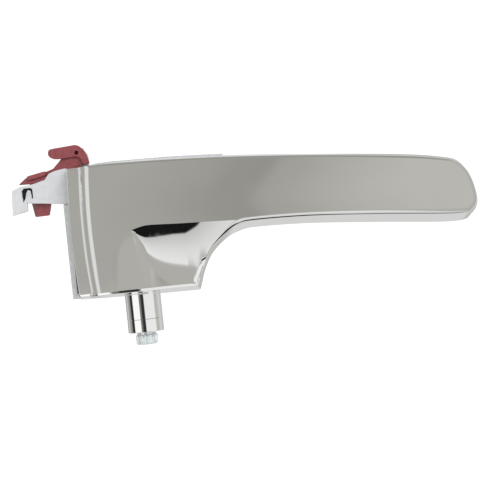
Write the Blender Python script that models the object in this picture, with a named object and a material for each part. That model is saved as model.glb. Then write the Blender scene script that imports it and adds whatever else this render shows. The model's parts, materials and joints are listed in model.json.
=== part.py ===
"""Inside door release lever: a chromed pull lever that turns about an upright pin.

Lengths are in millimetres and are turned into metres where meshes are made.
Frame: the pin's axis is Z, the shoulder that the lever stands on is Z = 0, the grip
points to +X, and the face that the passenger sees looks along -Y.
"""
import math

import bmesh
import bpy
from mathutils import Vector
from mathutils.geometry import delaunay_2d_cdt, intersect_point_line

MM = 0.001
GAP = 0.3              # between pieces that rest on each other
FIT = 0.1              # radial gap of bushes, pins and washers
SEGMENTS = 32

# Lever shell
FRONT_Y = -9.0
SHELL_BACK_Y = 0.5
WALL = 2.0
FACE_WALL = 1.6        # thickness of the wall behind the shaped face
FILLET_DEPTH = 1.6     # of the rounding between side wall and face, along Y
FILLET_START = 0.42    # part of the side's lean used before the rounding starts
ROUND_X = -12.8        # where the face starts to round off towards the left flange
ROUND_WIDTH = 4.0
ROUND_SWEEP = math.radians(75)
FLANGE_RECESS = 4.8
LEFT_BOW = 0.0023      # the left end's lines bow outwards by this times height squared
LEFT_BOW_Z = 34.0
HUB_SLOPE_X = -9.0     # the lower hub falls back from here to the right
HUB_EASE = 4.0         # length over which that fall starts
HUB_RUN = 28.0         # length over which it levels out
HUB_DROP = 2.0
CAVITY_LEFT_X = -10.8
CAVITY_LEFT_Z = (15.9, 51.2)
ROUNDING_Z = (15.2, 52.2)
POST_ROOT_Y = -8.0     # where the grip's posts grow from the face wall
RIB_Y = (-7.6, -4.6)   # rib that ties the upper tube to the face wall
RIB_HALF = 4.0
SPRING_LUG = ((-10.2, -7.6, 33.0), (-8.0, -0.9, 38.0))
FACE_STEP = 2.6        # spacing of the points on the shaped face
FLOOR_STEP = 4.5

# Each pair is one point of the back outline (x, z) and its partner on the face.
TIP_EDGE = [
    ((-20.3, 55.0), (-19.6, 53.9)), ((-12.4, 55.3), (-11.9, 53.7)),
    ((-6.0, 55.5), (-5.2, 53.7)), ((13.4, 55.0), (13.0, 53.0)),
    ((35.9, 53.5), (35.5, 51.7)), ((61.5, 51.1), (60.8, 49.5)),
    ((87.1, 48.3), (85.9, 46.5)), ((99.8, 46.2), (97.8, 44.5)),
    ((105.4, 44.2), (102.9, 42.8)), ((108.8, 39.2), (106.2, 38.9)),
    ((110.5, 31.4), (107.6, 32.2)), ((108.2, 27.0), (106.3, 29.4)),
    ((102.4, 25.0), (102.2, 28.8)), ((78.4, 27.2), (78.0, 31.1)),
    ((56.0, 29.2), (56.0, 32.7)), ((38.5, 29.8), (38.5, 33.1)),
    ((33.3, 29.1), (32.6, 32.5)), ((29.0, 27.3), (27.8, 28.9)),
    ((24.1, 23.2), (23.2, 24.3)), ((21.0, 18.0), (20.0, 18.6)),
    ((18.9, 11.6), (18.1, 14.1)),
]
HUB_FOOT = [((18.9, 11.6), (18.1, 14.1)), ((0.0, 11.8), (0.0, 14.1)),
            ((-20.2, 12.4), (-19.5, 14.0))]
LEFT_END = [((-20.2, 12.4), (-19.5, 14.0)), ((-20.9, 34.0), (-20.3, 34.0)),
            ((-20.3, 55.0), (-19.6, 53.9))]
# The finger recess: its sharp upper edge and the soft line where it levels out.
RECESS_TOP = [(-0.6, 32.8), (2.1, 33.5), (5.3, 33.8), (14.8, 33.3), (24.4, 32.9), (32.6, 32.5)]
RECESS_FOOT = [(-0.6, 32.8), (0.4, 30.5), (1.7, 27.8), (3.6, 24.7), (6.5, 22.4),
               (10.2, 20.9), (14.9, 19.9), (19.3, 19.0)]
# Slope of the surface just under the recess's upper edge, by x.
RECESS_STEEP = [(-0.6, 0.28), (2.0, 0.25), (5.0, 0.225), (8.0, 0.21), (12.0, 0.2), (16.0, 0.197),
                (18.0, 0.187), (20.0, 0.178), (22.0, 0.165), (26.0, 0.145), (32.6, 0.12)]
FOOT_STEEP = 0.07      # slope at the recess's foot line
BLEND_DEPTH = 0.3
BLEND_HEIGHT = 7.0     # the recess's left edge is sharp at its top and soft from here down
SOFT_HEIGHT = 22.0     # the left of the lower hub blends softly into the upper hub

# Pivot
PIN_R = 3.0
PIN_TOP_Z = 48.5
PIN_NECK_Z = -0.8
PIN_END_Z = -4.0
KNURL_R = 3.5
KNURL_DEPTH = 0.32
KNURL_TEETH = 24
BOSS_R = 5.75
COLLAR_TOP_Z = 4.05
COLLAR_LEAD = 1.0      # depth of the lead-in at the collar's foot
BOSS_FOOT_Z = 4.35
WASHER_T = 0.5
BUSH_OUT_R = 4.2
LOWER_TUBE_TOP_Z = 20.0
UPPER_TUBE_Z = (40.0, 45.0)
RING_GROOVE_Z = (46.1, 47.1)
ANCHOR_Z = (20.4, 25.0)
ANCHOR_R = 5.3
SPRING_R = 4.2
SPRING_WIRE_R = 0.5
SPRING_TURNS = 6.5
SPRING_Z = (25.9, 35.5)
SPRING_LEG_X = -9.4

# Rear carrier and the pieces on it
CARRIER_FRONT_Y = 0.8
CARRIER_FLOOR_Y = 6.6
CARRIER_BACK_Y = 8.6
CARRIER_WALL = 1.6
CARRIER_OUTLINE = [(-22.5, 12.7), (17.9, 12.5), (19.4, 16.5), (22.4, 21.6), (26.6, 26.4),
                   (30.3, 30.6), (30.3, 54.5), (13.4, 55.35), (-6.0, 55.75), (-22.5, 55.2)]
NOTCH_Z = 53.6         # the carrier's top wall is cut down to this under the clip
CARRIER_PAD = ((-21.8, 2.0, 42.9), (-13.2, 7.2, 53.3))     # the arm lies on it
ARM_WINDOW = ((-30.0, -1.0, 43.2), (-13.4, 2.6, 60.0))     # cut for the arm in the left wall
CARRIER_SCREWS = [(-10.5, 19.5), (13.5, 19.0), (-9.5, 48.0), (25.0, 46.0)]
SCREW_R = 1.2
SCREW_HEAD_R = 2.7
POST_R = 2.7
BUMPERS = [(20.0, 33.0), (-17.5, 24.0)]

# Cable arm and clip
ARM_Y = (0.8, 2.3)
ARM_OUTLINE = [(-14.0, 43.5), (-14.0, 53.9), (-21.0, 55.0), (-24.2, 54.5), (-26.2, 53.8),
               (-27.7, 52.0), (-31.7, 51.0), (-36.0, 50.5), (-38.5, 49.6), (-38.9, 45.7),
               (-39.0, 41.5), (-36.2, 42.0), (-34.0, 42.4), (-34.0, 45.1), (-33.0, 44.9),
               (-28.5, 44.4), (-22.2, 43.5)]
ARM_SLOT = [(-35.2, 45.4), (-35.4, 47.3), (-35.4, 49.2), (-34.6, 49.9), (-32.6, 49.9),
            (-31.9, 49.3), (-31.9, 46.4), (-32.3, 46.4), (-32.5, 49.0), (-33.3, 49.2),
            (-33.9, 48.2), (-34.4, 46.6)]
LINER_Y = (2.45, 2.75)
LINER_OUTLINE = [(-35.9, 45.2), (-31.3, 45.2), (-31.3, 50.2), (-34.6, 50.3), (-35.9, 49.6)]
RIVETS = [(-17.8, 46.2), (-17.8, 51.2)]
RIVET_R = 1.3
CLIP_Y = (2.9, 5.9)
CLIP_HINGE = (-16.7, 59.0)
CLIP_PIN_R = 0.9
CLIP_OUTLINE = [(-12.9, 56.1), (-13.3, 57.9), (-13.9, 59.6), (-14.9, 61.1), (-15.9, 62.1),
                (-17.0, 62.4), (-22.8, 62.0), (-25.3, 61.8), (-26.0, 60.6), (-25.5, 59.1),
                (-24.2, 58.4), (-21.9, 58.4), (-23.3, 57.1), (-25.0, 55.5), (-27.2, 54.8),
                (-33.3, 53.8), (-33.8, 50.0), (-33.4, 44.8), (-32.5, 40.4), (-27.8, 40.4),
                (-26.9, 44.1), (-26.4, 49.4), (-24.4, 52.4), (-20.0, 55.2), (-16.5, 55.7)]
CLIP_BAR = [(-27.3, 54.9), (-33.3, 54.3), (-33.6, 53.0), (-36.0, 51.4), (-31.9, 51.6),
            (-28.0, 52.5)]
CLIP_EAR = [(-20.0, 52.5), (-19.9, 59.0), (-18.4, 61.4), (-16.7, 61.9), (-15.0, 61.4),
            (-13.6, 59.0), (-13.4, 52.5)]

# Grip pieces
COVER_Y = (-1.3, 1.1)
COVER_INSET = 2.4
COVER_LEFT_X = 32.6
GRIP_SCREWS = [(41.0, 41.8), (69.0, 39.6), (96.0, 37.0)]
GRIP_SCREW_R = 1.0
GRIP_POST_R = 2.2
STIFFENER_Y = (-6.6, -5.4)
STIFFENER_HALF = 4.2


# ---- Curves and surfaces ----

def smooth_through(points, step):
    """Catmull-Rom curve through points of any size, about one sample per step of length."""
    points = [Vector(p) for p in points]
    padded = [2 * points[0] - points[1], *points, 2 * points[-1] - points[-2]]
    samples = []
    for a, b, c, d in zip(padded, padded[1:], padded[2:], padded[3:]):
        count = max(1, round((c - b).length / step))
        for i in range(count):
            t = i / count
            samples.append(0.5 * (2 * b + (c - a) * t + (2 * a - 5 * b + 4 * c - d) * t ** 2
                                  + (3 * b - a - 3 * c + d) * t ** 3))
    return samples + [points[-1]]


def value_at(curve, x):
    """Height of a left-to-right curve at x, held level beyond its ends."""
    if x <= curve[0][0]:
        return curve[0][1]
    for (x0, z0), (x1, z1) in zip(curve, curve[1:]):
        if x <= x1:
            return z0 + (z1 - z0) * (x - x0) / (x1 - x0)
    return curve[-1][1]


def smoothstep(t):
    t = min(1.0, max(0.0, t))
    return t * t * (3 - 2 * t)


RECESS_TOP_CURVE = [tuple(p) for p in smooth_through(RECESS_TOP, 1.0)]
RECESS_FOOT_CURVE = [tuple(p) for p in smooth_through(RECESS_FOOT, 1.0)]


def left_line(x, z):
    return x + LEFT_BOW * (z - LEFT_BOW_Z) ** 2


def left_rounding(x, z):
    turn = (left_line(ROUND_X, z) - x) / ROUND_WIDTH
    if turn <= 0:
        return 0.0
    if turn >= 1:
        return FLANGE_RECESS
    fall = 1 - math.sqrt(1 - (turn * math.sin(ROUND_SWEEP)) ** 2)
    return FLANGE_RECESS * fall / (1 - math.cos(ROUND_SWEEP))


def lower_hub(x, z):
    """Depth of the lower hub, whose top right is the sharp-edged finger recess."""
    if x < HUB_SLOPE_X or x > RECESS_TOP[-1][0]:
        return 0.0
    top = value_at(RECESS_TOP_CURVE, x)
    if z >= top:
        return 0.0
    run = x - HUB_SLOPE_X
    run = run * run / (2 * HUB_EASE) if run < HUB_EASE else run - HUB_EASE / 2
    soft = HUB_DROP * (1 - (1 - min(1.0, run / HUB_RUN)) ** 2) * smoothstep((top - z) / SOFT_HEIGHT)
    if x < RECESS_TOP[0][0]:
        return soft
    span = max(0.3, top - value_at(RECESS_FOOT_CURVE, x))
    steep = value_at(RECESS_STEEP, x)
    reach = span / (1 - FOOT_STEEP / steep)
    recess = steep * reach / 2 * (1 - (1 - min(1.0, (top - z) / reach)) ** 2)
    blend = BLEND_DEPTH * smoothstep((top - z) / BLEND_HEIGHT)
    gap = max(0.0, 1 - abs(soft - recess) / blend) if blend else 0.0
    return max(soft, recess) + blend * gap * gap / 4


def face_y(x, z):
    return FRONT_Y + left_rounding(x, z) + lower_hub(x, z)


def is_inside(outline, x, z):
    hit = False
    for (x0, z0), (x1, z1) in zip(outline, outline[1:] + outline[:1]):
        if (z0 > z) != (z1 > z) and x < x0 + (x1 - x0) * (z - z0) / (z1 - z0):
            hit = not hit
    return hit


def distance_to(outline, x, z):
    return min(math.hypot(x - a, z - b) for a, b in outline)


def edge_distance(outline, point):
    """Distance from a point to the sides of a closed outline."""
    best = math.inf
    for a, b in zip(outline, outline[1:] + outline[:1]):
        near, part = intersect_point_line(point, a, b)
        near = near.xy if 0 <= part <= 1 else Vector(a if part < 0 else b)
        best = min(best, (Vector(point) - near).length)
    return best


def inset(outline, amount):
    """Moves a closed outline inwards and drops the points that tight bends push together."""
    area = sum(a[0] * b[1] - b[0] * a[1] for a, b in zip(outline, outline[1:] + outline[:1]))
    side = 1 if area > 0 else -1
    moved = []
    for before, here, after in zip(outline[-1:] + outline[:-1], outline, outline[1:] + outline[:1]):
        one = (Vector(here) - Vector(before)).normalized()
        two = (Vector(after) - Vector(here)).normalized()
        normal = Vector((-(one.y + two.y), one.x + two.x)).normalized() * side
        reach = max(0.5, normal.dot(Vector((-one.y, one.x)) * side))
        moved.append(tuple(Vector(here) + normal * amount / reach))
    return [point for point in moved if edge_distance(outline, point) > 0.97 * amount]


def circle(x, z, radius, count=SEGMENTS):
    return [(x + radius * math.cos(2 * math.pi * i / count),
             z + radius * math.sin(2 * math.pi * i / count)) for i in range(count)]


# ---- Meshes ----

def new_object(name, mesh_data):
    vertices, faces = mesh_data
    mesh = bpy.data.meshes.new(name)
    mesh.from_pydata([Vector(v) * MM for v in vertices], [], faces)
    shape = bmesh.new()
    shape.from_mesh(mesh)
    bmesh.ops.recalc_face_normals(shape, faces=shape.faces)
    shape.to_mesh(mesh)
    shape.free()
    thing = bpy.data.objects.new(name, mesh)
    bpy.context.scene.collection.objects.link(thing)
    return thing


def filled(loops, extra=(), creases=()):
    """Triangles over a flat region: the first loop is its edge, the others are its holes."""
    points, edges = [], []
    for loop in loops:
        first = len(points)
        points += [Vector(p) for p in loop]
        edges += [(first + i, first + (i + 1) % len(loop)) for i in range(len(loop))]
    border = len(points)
    for line in creases:
        first = len(points)
        points += [Vector(p) for p in line]
        edges += [(first + i, first + i + 1) for i in range(len(line) - 1)]
    points += [Vector(p) for p in extra]
    found, _, faces, origins, _, _ = delaunay_2d_cdt(points, edges, [], 1, 1e-6)
    if any(origin[:1] != [i] for i, origin in enumerate(origins[:border])):
        raise ValueError("an outline point was lost")
    kept = []
    for face in faces:
        middle = sum((found[i] for i in face), Vector((0, 0))) / len(face)
        if not any(is_inside(loop, *middle) for loop in loops[1:]):
            kept.append(tuple(face))
    return [tuple(p) for p in found], kept, border


def slab(outline, low_y, high_y, holes=()):
    """An outline in X and Z with holes, as thick as low_y to high_y."""
    points, faces, _ = filled([outline, *holes])
    vertices = [(x, low_y, z) for x, z in points] + [(x, high_y, z) for x, z in points]
    offset = len(points)
    mesh = [*faces, *(tuple(i + offset for i in reversed(face)) for face in faces)]
    first = 0
    for loop in [outline, *holes]:
        for i in range(len(loop)):
            a, b = first + i, first + (i + 1) % len(loop)
            mesh.append((a, b, b + offset, a + offset))
        first += len(loop)
    return vertices, mesh


def joined(*parts):
    vertices, faces = [], []
    for part_vertices, part_faces in parts:
        first = len(vertices)
        vertices += part_vertices
        faces += [tuple(i + first for i in face) for face in part_faces]
    return vertices, faces


def rings_to_solid(rings, closed):
    """Skins a list of equal rings; closed joins the last to the first, else both are capped."""
    count = len(rings[0])
    vertices = [point for ring in rings for point in ring]
    faces = []
    for r in range(len(rings) if closed else len(rings) - 1):
        a, b = r * count, (r + 1) % len(rings) * count
        faces += [(a + i, a + (i + 1) % count, b + (i + 1) % count, b + i) for i in range(count)]
    if not closed:
        faces += [tuple(range(count)), tuple(range(len(vertices) - count, len(vertices)))]
    return vertices, faces


def turned(profile, centre=(0.0, 0.0), along="Z", closed=True, count=SEGMENTS):
    """Turns (radius, height) points about an axis through centre, along Z or along Y."""
    rings = []
    for radius, height in profile:
        round_points = circle(*centre, radius, count)
        if along == "Z":
            rings.append([(a, b, height) for a, b in round_points])
        else:
            rings.append([(a, height, b) for a, b in round_points])
    return rings_to_solid(rings, closed)


def tube(inner, outer, low, high, centre=(0.0, 0.0), along="Z"):
    return turned([(inner, low), (outer, low), (outer, high), (inner, high)], centre, along)


def rod(radius, low, high, centre=(0.0, 0.0), along="Z", count=SEGMENTS):
    return turned([(radius, low), (radius, high)], centre, along, False, count)


def block(low, high):
    outline = [(low[0], low[2]), (high[0], low[2]), (high[0], high[2]), (low[0], high[2])]
    return slab(outline, low[1], high[1])


def tool(name, mesh_data):
    thing = new_object(name, mesh_data)
    thing.hide_render = True
    thing.display_type = "WIRE"
    thing.hide_set(True)
    return thing


def combine(target, operation, mesh_data):
    modifier = target.modifiers.new(operation.lower(), "BOOLEAN")
    modifier.operation = operation
    modifier.object = tool(f"{target.name}_{len(target.modifiers)}", mesh_data)
    modifier.solver = "EXACT"


# ---- Lever ----

def lever_edge():
    """Back and face outlines, with the same number of points."""
    loop = []
    for stretch, step in ((TIP_EDGE, 3.2), (HUB_FOOT, 4.0), (LEFT_END, 4.0)):
        pairs = [(*back, *front) for back, front in stretch]
        loop += smooth_through(pairs, step * 1.4)[:-1]
    return [(p[0], p[1]) for p in loop], [(p[2], p[3]) for p in loop]


def face_points(outline, step):
    low_x, high_x = min(p[0] for p in outline), max(p[0] for p in outline)
    low_z, high_z = min(p[1] for p in outline), max(p[1] for p in outline)
    points = []
    for i in range(int((high_x - low_x) / step) + 1):
        for j in range(int((high_z - low_z) / step) + 1):
            x, z = low_x + i * step, low_z + (j + 0.5 * (i % 2)) * step
            shaped = x < 31 and z < 36
            sparse = i % 3 == 0 and j % 3 == 0
            if not (shaped or sparse) or not is_inside(outline, x, z):
                continue
            if edge_distance(outline, (x, z)) > 0.5 * step:
                points.append((x, z))
    return points


def rounding_lines(outline):
    """Upright lines down the left rounding, dense enough to keep it round."""
    lines = []
    low, high = ROUNDING_Z
    for turn in (0.0, 0.35, 0.6, 0.8, 0.93, 1.0, 1.08):
        heights = [low + (high - low) * i / 9 for i in range(10)]
        lines.append([(left_line(ROUND_X - turn * ROUND_WIDTH, z), z) for z in heights])
    return [[p for p in line if is_inside(outline, *p)] for line in lines]


def cavity_outline(front):
    right = [p for p in inset(front, WALL) if p[0] > CAVITY_LEFT_X + 2.5]
    return right + [(CAVITY_LEFT_X, z) for z in CAVITY_LEFT_Z]


def shell_body():
    back, front = lever_edge()
    rings = [[(x, SHELL_BACK_Y, z) for x, z in back]]
    for step in range(4):
        angle = step * math.pi / 6
        lean = FILLET_START + (1 - FILLET_START) * (1 - math.cos(angle))
        ring = []
        for (bx, bz), (fx, fz) in zip(back, front):
            y = face_y(fx, fz) + FILLET_DEPTH * (1 - math.sin(angle))
            ring.append((bx + (fx - bx) * lean, y, bz + (fz - bz) * lean))
        rings.append(ring)
    skin = rings_to_solid(rings, False)
    vertices, faces = skin[0], skin[1][:-2]
    count, last = len(back), (len(rings) - 1) * len(back)

    lines = rounding_lines(front)
    crease = [p for p in RECESS_TOP_CURVE[::2] if is_inside(front, *p) and distance_to(front, *p) > 1]
    near = [p for line in [*lines, crease] for p in line]
    loose = [p for p in face_points(front, FACE_STEP)
             if distance_to(near, *p) > 0.45 * FACE_STEP and p[0] > left_line(ROUND_X, p[1])]
    points, triangles, border = filled([front], loose, [*lines, crease])
    first = len(vertices)
    vertices = vertices + [(x, face_y(x, z), z) for x, z in points[border:]]
    faces = faces + [tuple(i + last if i < border else i - border + first for i in t) for t in triangles]

    cavity = cavity_outline(front)
    _, rim, _ = filled([back, cavity])
    points, triangles, _ = filled([cavity], face_points(cavity, FLOOR_STEP))
    first = len(vertices)
    vertices += [(x, SHELL_BACK_Y, z) for x, z in cavity]
    floor = len(vertices)
    vertices += [(x, face_y(x, z) + FACE_WALL, z) for x, z in points]
    size = len(cavity)
    faces += [tuple(i if i < count else i - count + first for i in t) for t in rim]
    faces += [(first + i, first + (i + 1) % size, floor + (i + 1) % size, floor + i)
              for i in range(size)]
    faces += [tuple(i + floor for i in t) for t in triangles]
    return vertices, faces


def handle_shell():
    shell = new_object("handle_shell", shell_body())
    low, high = UPPER_TUBE_Z
    combine(shell, "UNION", rod(BOSS_R, BOSS_FOOT_Z, LOWER_TUBE_TOP_Z))
    combine(shell, "UNION", rod(BOSS_R, low, high))
    combine(shell, "UNION", block((-RIB_HALF, RIB_Y[0], low + 0.5), (RIB_HALF, RIB_Y[1], high - 0.5)))
    combine(shell, "UNION", block(*SPRING_LUG))
    posts = [rod(POST_R, face_y(x, z) + 1.0, SHELL_BACK_Y - 0.2, (x, z), "Y", 16)
             for x, z in CARRIER_SCREWS]
    posts += [rod(GRIP_POST_R, POST_ROOT_Y, COVER_Y[0] - GAP, at, "Y", 16) for at in GRIP_SCREWS]
    combine(shell, "UNION", joined(*posts))
    bores = [rod(BUSH_OUT_R + FIT, BOSS_FOOT_Z + 0.4, LOWER_TUBE_TOP_Z + 1),
             rod(BUSH_OUT_R + FIT, low - 1, high + 1)]
    combine(shell, "DIFFERENCE", joined(*bores))
    combine(shell, "DIFFERENCE", rod(5.1, BOSS_FOOT_Z - 1, BOSS_FOOT_Z + WASHER_T + GAP))
    holes = [rod(SCREW_R + FIT, -2.4, 2.0, at, "Y", 16) for at in CARRIER_SCREWS]
    holes += [rod(GRIP_SCREW_R + FIT, -6.4, 0.0, at, "Y", 16) for at in GRIP_SCREWS]
    combine(shell, "DIFFERENCE", joined(*holes))
    return shell


def grip_back_cover():
    _, front = lever_edge()
    outline = [p for p in inset(front, COVER_INSET) if p[0] > COVER_LEFT_X + 1 and p[1] > 30.0]
    ends = [p for p in outline if p[0] < COVER_LEFT_X + 6]
    top, bottom = max(p[1] for p in ends), min(p[1] for p in ends)
    outline += [(COVER_LEFT_X, bottom), (COVER_LEFT_X, top)]
    cover = new_object("grip_back_cover", slab(outline, *COVER_Y))
    cuts = [turned([(GRIP_SCREW_R + 0.2, COVER_Y[0] - 1), (GRIP_SCREW_R + 0.2, 0.0),
                    (2.3, 0.0), (2.3, COVER_Y[1] + 1)], at, "Y", False, 16) for at in GRIP_SCREWS]
    combine(cover, "DIFFERENCE", joined(*cuts))
    return cover


def grip_stiffener():
    (x0, z0), _, (x1, z1) = GRIP_SCREWS
    ends = [(x0 - 4.5, z0 + 0.3), (x1 + 4.0, z1 - 0.3)]
    outline = [(ends[0][0], ends[0][1] - STIFFENER_HALF), (ends[1][0], ends[1][1] - STIFFENER_HALF),
               (ends[1][0], ends[1][1] + STIFFENER_HALF), (ends[0][0], ends[0][1] + STIFFENER_HALF)]
    holes = [circle(*at, GRIP_POST_R + GAP, 20) for at in GRIP_SCREWS]
    return new_object("grip_stiffener", slab(outline, *STIFFENER_Y, holes))


def repeated(name, places, profile, count=16):
    """One turned piece, standing along Y, at each of the places."""
    return [new_object(f"{name}_{i}", turned(profile, at, "Y", False, count))
            for i, at in enumerate(places, 1)]


def cover_screws():
    profile = [(GRIP_SCREW_R, -5.8), (GRIP_SCREW_R, GAP), (2.0, GAP), (2.0, 0.9)]
    return repeated("cover_screw", GRIP_SCREWS, profile)


# ---- Pivot ----

def pivot_pin():
    knurl_top = PIN_NECK_Z
    low = (PIN_END_Z, PIN_END_Z + 0.4)
    heights = [(low[0], -0.35), (low[1], 0.0), (knurl_top - 0.25, 0.0), (knurl_top, -0.25)]
    rings = []
    for z, grow in heights:
        ring = []
        for i in range(KNURL_TEETH * 2):
            angle = math.pi * i / KNURL_TEETH
            radius = KNURL_R + grow - (KNURL_DEPTH if i % 2 else 0.0)
            ring.append((radius * math.cos(angle), radius * math.sin(angle), z))
        rings.append(ring)
    groove_low, groove_high = RING_GROOVE_Z
    for radius, z in ((PIN_R, knurl_top + 0.1), (PIN_R, groove_low), (2.5, groove_low), (2.5, groove_high),
                      (PIN_R, groove_high), (PIN_R, PIN_TOP_Z - 0.4), (PIN_R - 0.4, PIN_TOP_Z)):
        rings.append([(x, y, z) for x, y in circle(0, 0, radius, KNURL_TEETH * 2)])
    return new_object("pivot_pin", rings_to_solid(rings, False))


def boss_collar():
    bore, chamfer = PIN_R + FIT, 0.25
    profile = [(bore, COLLAR_LEAD), (KNURL_R + 2 * GAP, 0.0), (BOSS_R - chamfer, 0.0),
               (BOSS_R, chamfer), (BOSS_R, COLLAR_TOP_Z), (bore, COLLAR_TOP_Z)]
    return new_object("boss_collar", turned(profile, count=40))


def washer(name, low, outer):
    return new_object(name, tube(PIN_R + FIT, outer, low, low + WASHER_T))


def bush(name, low, high):
    return new_object(name, tube(PIN_R + FIT, BUSH_OUT_R, low, high))


def retaining_ring():
    """A flat ring with a mouth, snapped into the pin's groove."""
    inner, outer, half, steps = 2.65, 4.4, math.radians(35), 22
    low, high = RING_GROOVE_Z[0] + FIT, RING_GROOVE_Z[1] - FIT
    rings = []
    for i in range(steps + 1):
        angle = half + (2 * math.pi - 2 * half) * i / steps
        c, s = math.cos(angle), math.sin(angle)
        rings.append([(inner * c, inner * s, low), (outer * c, outer * s, low),
                      (outer * c, outer * s, high), (inner * c, inner * s, high)])
    return new_object("retaining_ring", rings_to_solid(rings, False))


def spring_path():
    """Coil from the anchor's hole up to the leg that bears on the lever."""
    low, high = SPRING_Z
    leg_z = high + 0.1
    start = Vector((SPRING_R, 0.0, low))
    points = [start - Vector((0, 0, 2.2)), start - Vector((0, 0, 1.1))]
    steps = int(SPRING_TURNS * 14)
    for i in range(steps + 1):
        angle = 2 * math.pi * SPRING_TURNS * i / steps
        z = low + (high - low) * i / steps
        points.append(Vector((SPRING_R * math.cos(angle), SPRING_R * math.sin(angle), z)))
    return points + [Vector((SPRING_LEG_X + 3.4, 0.9, leg_z)), Vector((SPRING_LEG_X, 0.4, leg_z))]


def swept(points, radius, sides=8):
    rings = []
    for i, here in enumerate(points):
        ahead = points[min(i + 1, len(points) - 1)] - points[max(i - 1, 0)]
        across = Vector((here.x, here.y, 0)).normalized()
        side = (across - across.project(ahead)).normalized()
        if side.length < 0.5:
            side = Vector((0, 0, 1))
        up = ahead.cross(side).normalized()
        rings.append([tuple(here + radius * (side * math.cos(a) + up * math.sin(a)))
                      for a in (2 * math.pi * k / sides for k in range(sides))])
    return rings_to_solid(rings, False)


def return_spring():
    return new_object("return_spring", swept(spring_path(), SPRING_WIRE_R))


def spring_anchor():
    low, high = ANCHOR_Z
    anchor = new_object("spring_anchor", tube(PIN_R + FIT, ANCHOR_R, low, high))
    hole = turned([(0.7, high - 2.4), (0.7, high + 1)], (SPRING_R, 0.0), "Z", False, 16)
    combine(anchor, "DIFFERENCE", hole)
    middle = (low + high) / 2
    combine(anchor, "DIFFERENCE", rod(1.35, 2.0, 8.0, (0.0, middle), "Y", 16))
    return anchor


def anchor_set_screw():
    middle = sum(ANCHOR_Z) / 2
    screw = new_object("anchor_set_screw", rod(1.25, PIN_R + GAP, 5.1, (0.0, middle), "Y", 16))
    socket = turned([(0.6, 4.1), (0.6, 7.0)], (0.0, middle), "Y", False, 6)
    combine(screw, "DIFFERENCE", socket)
    return screw


# ---- Rear carrier ----

def rear_carrier():
    carrier_cavity = inset(CARRIER_OUTLINE, CARRIER_WALL)
    _, rim, _ = filled([CARRIER_OUTLINE, carrier_cavity])
    _, back, _ = filled([CARRIER_OUTLINE])
    _, floor, _ = filled([carrier_cavity])
    size = len(CARRIER_OUTLINE)
    vertices = [(x, CARRIER_FRONT_Y, z) for x, z in CARRIER_OUTLINE + carrier_cavity]
    vertices += [(x, CARRIER_BACK_Y, z) for x, z in CARRIER_OUTLINE]
    vertices += [(x, CARRIER_FLOOR_Y, z) for x, z in carrier_cavity]
    faces = list(rim)
    faces += [tuple(i + 2 * size for i in t) for t in back]
    faces += [tuple(i + 3 * size for i in t) for t in floor]
    for i in range(size):
        j = (i + 1) % size
        faces += [(i, j, 2 * size + j, 2 * size + i), (size + i, size + j, 3 * size + j, 3 * size + i)]
    carrier = new_object("rear_carrier", (vertices, faces))
    combine(carrier, "UNION", block(*CARRIER_PAD))
    combine(carrier, "UNION", slab(CLIP_EAR, CLIP_Y[1] + GAP, CARRIER_BACK_Y - 0.2))
    bosses = [rod(POST_R, CARRIER_FRONT_Y + 0.2, 7.2, at, "Y", 16) for at in CARRIER_SCREWS]
    combine(carrier, "UNION", joined(*bosses))
    combine(carrier, "DIFFERENCE", block((-30.0, -1.0, NOTCH_Z), (-11.0, CLIP_Y[1] + GAP, 60.0)))
    combine(carrier, "DIFFERENCE", block(*ARM_WINDOW))
    combine(carrier, "DIFFERENCE", rod(BOSS_R + GAP, 8.0, 19.0))
    holes = [rod(SCREW_R + FIT, -1.0, 10.0, at, "Y", 16) for at in CARRIER_SCREWS]
    holes += [rod(RIVET_R + FIT, -1.0, 10.0, at, "Y", 16) for at in RIVETS]
    holes += [rod(1.6, 6.0, 10.0, at, "Y", 16) for at in BUMPERS]
    holes.append(rod(CLIP_PIN_R + FIT, 5.0, 10.0, CLIP_HINGE, "Y", 16))
    combine(carrier, "DIFFERENCE", joined(*holes))
    return carrier


def carrier_screws():
    head = CARRIER_BACK_Y + GAP
    profile = [(SCREW_R, -2.0), (SCREW_R, head), (SCREW_HEAD_R, head), (SCREW_HEAD_R, head + 0.9),
               (SCREW_HEAD_R - 0.8, head + 1.6)]
    return repeated("carrier_screw", CARRIER_SCREWS, profile)


def stop_bumpers():
    foot = CARRIER_BACK_Y + GAP
    profile = [(1.9, CARRIER_FLOOR_Y - 1.0), (1.9, CARRIER_FLOOR_Y - GAP), (1.5, CARRIER_FLOOR_Y - GAP),
               (1.5, foot), (3.3, foot), (3.3, foot + 1.5), (2.5, foot + 2.4)]
    return repeated("stop_bumper", BUMPERS, profile, 20)


# ---- Cable arm ----

def cable_arm():
    holes = [ARM_SLOT, *[circle(*at, RIVET_R + FIT, 16) for at in RIVETS]]
    return new_object("cable_arm", slab(ARM_OUTLINE, *ARM_Y, holes))


def cable_liner():
    """The thin rubber pad behind the slot, which the cable's end fitting bears on."""
    return new_object("cable_liner", slab(LINER_OUTLINE, *LINER_Y))


def arm_rivets():
    back = CARRIER_BACK_Y + GAP
    profile = [(RIVET_R, ARM_Y[0]), (RIVET_R, back), (2.3, back), (2.3, back + 0.5), (1.5, back + 1.1)]
    return repeated("arm_rivet", RIVETS, profile)


def cable_clip():
    clip = new_object("cable_clip", slab(CLIP_OUTLINE, *CLIP_Y))
    combine(clip, "UNION", slab(CLIP_BAR, ARM_Y[0] - 0.4, CLIP_Y[0] + 1.2))
    combine(clip, "DIFFERENCE", rod(CLIP_PIN_R + FIT, 0.0, 8.0, CLIP_HINGE, "Y", 20))
    return clip


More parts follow.
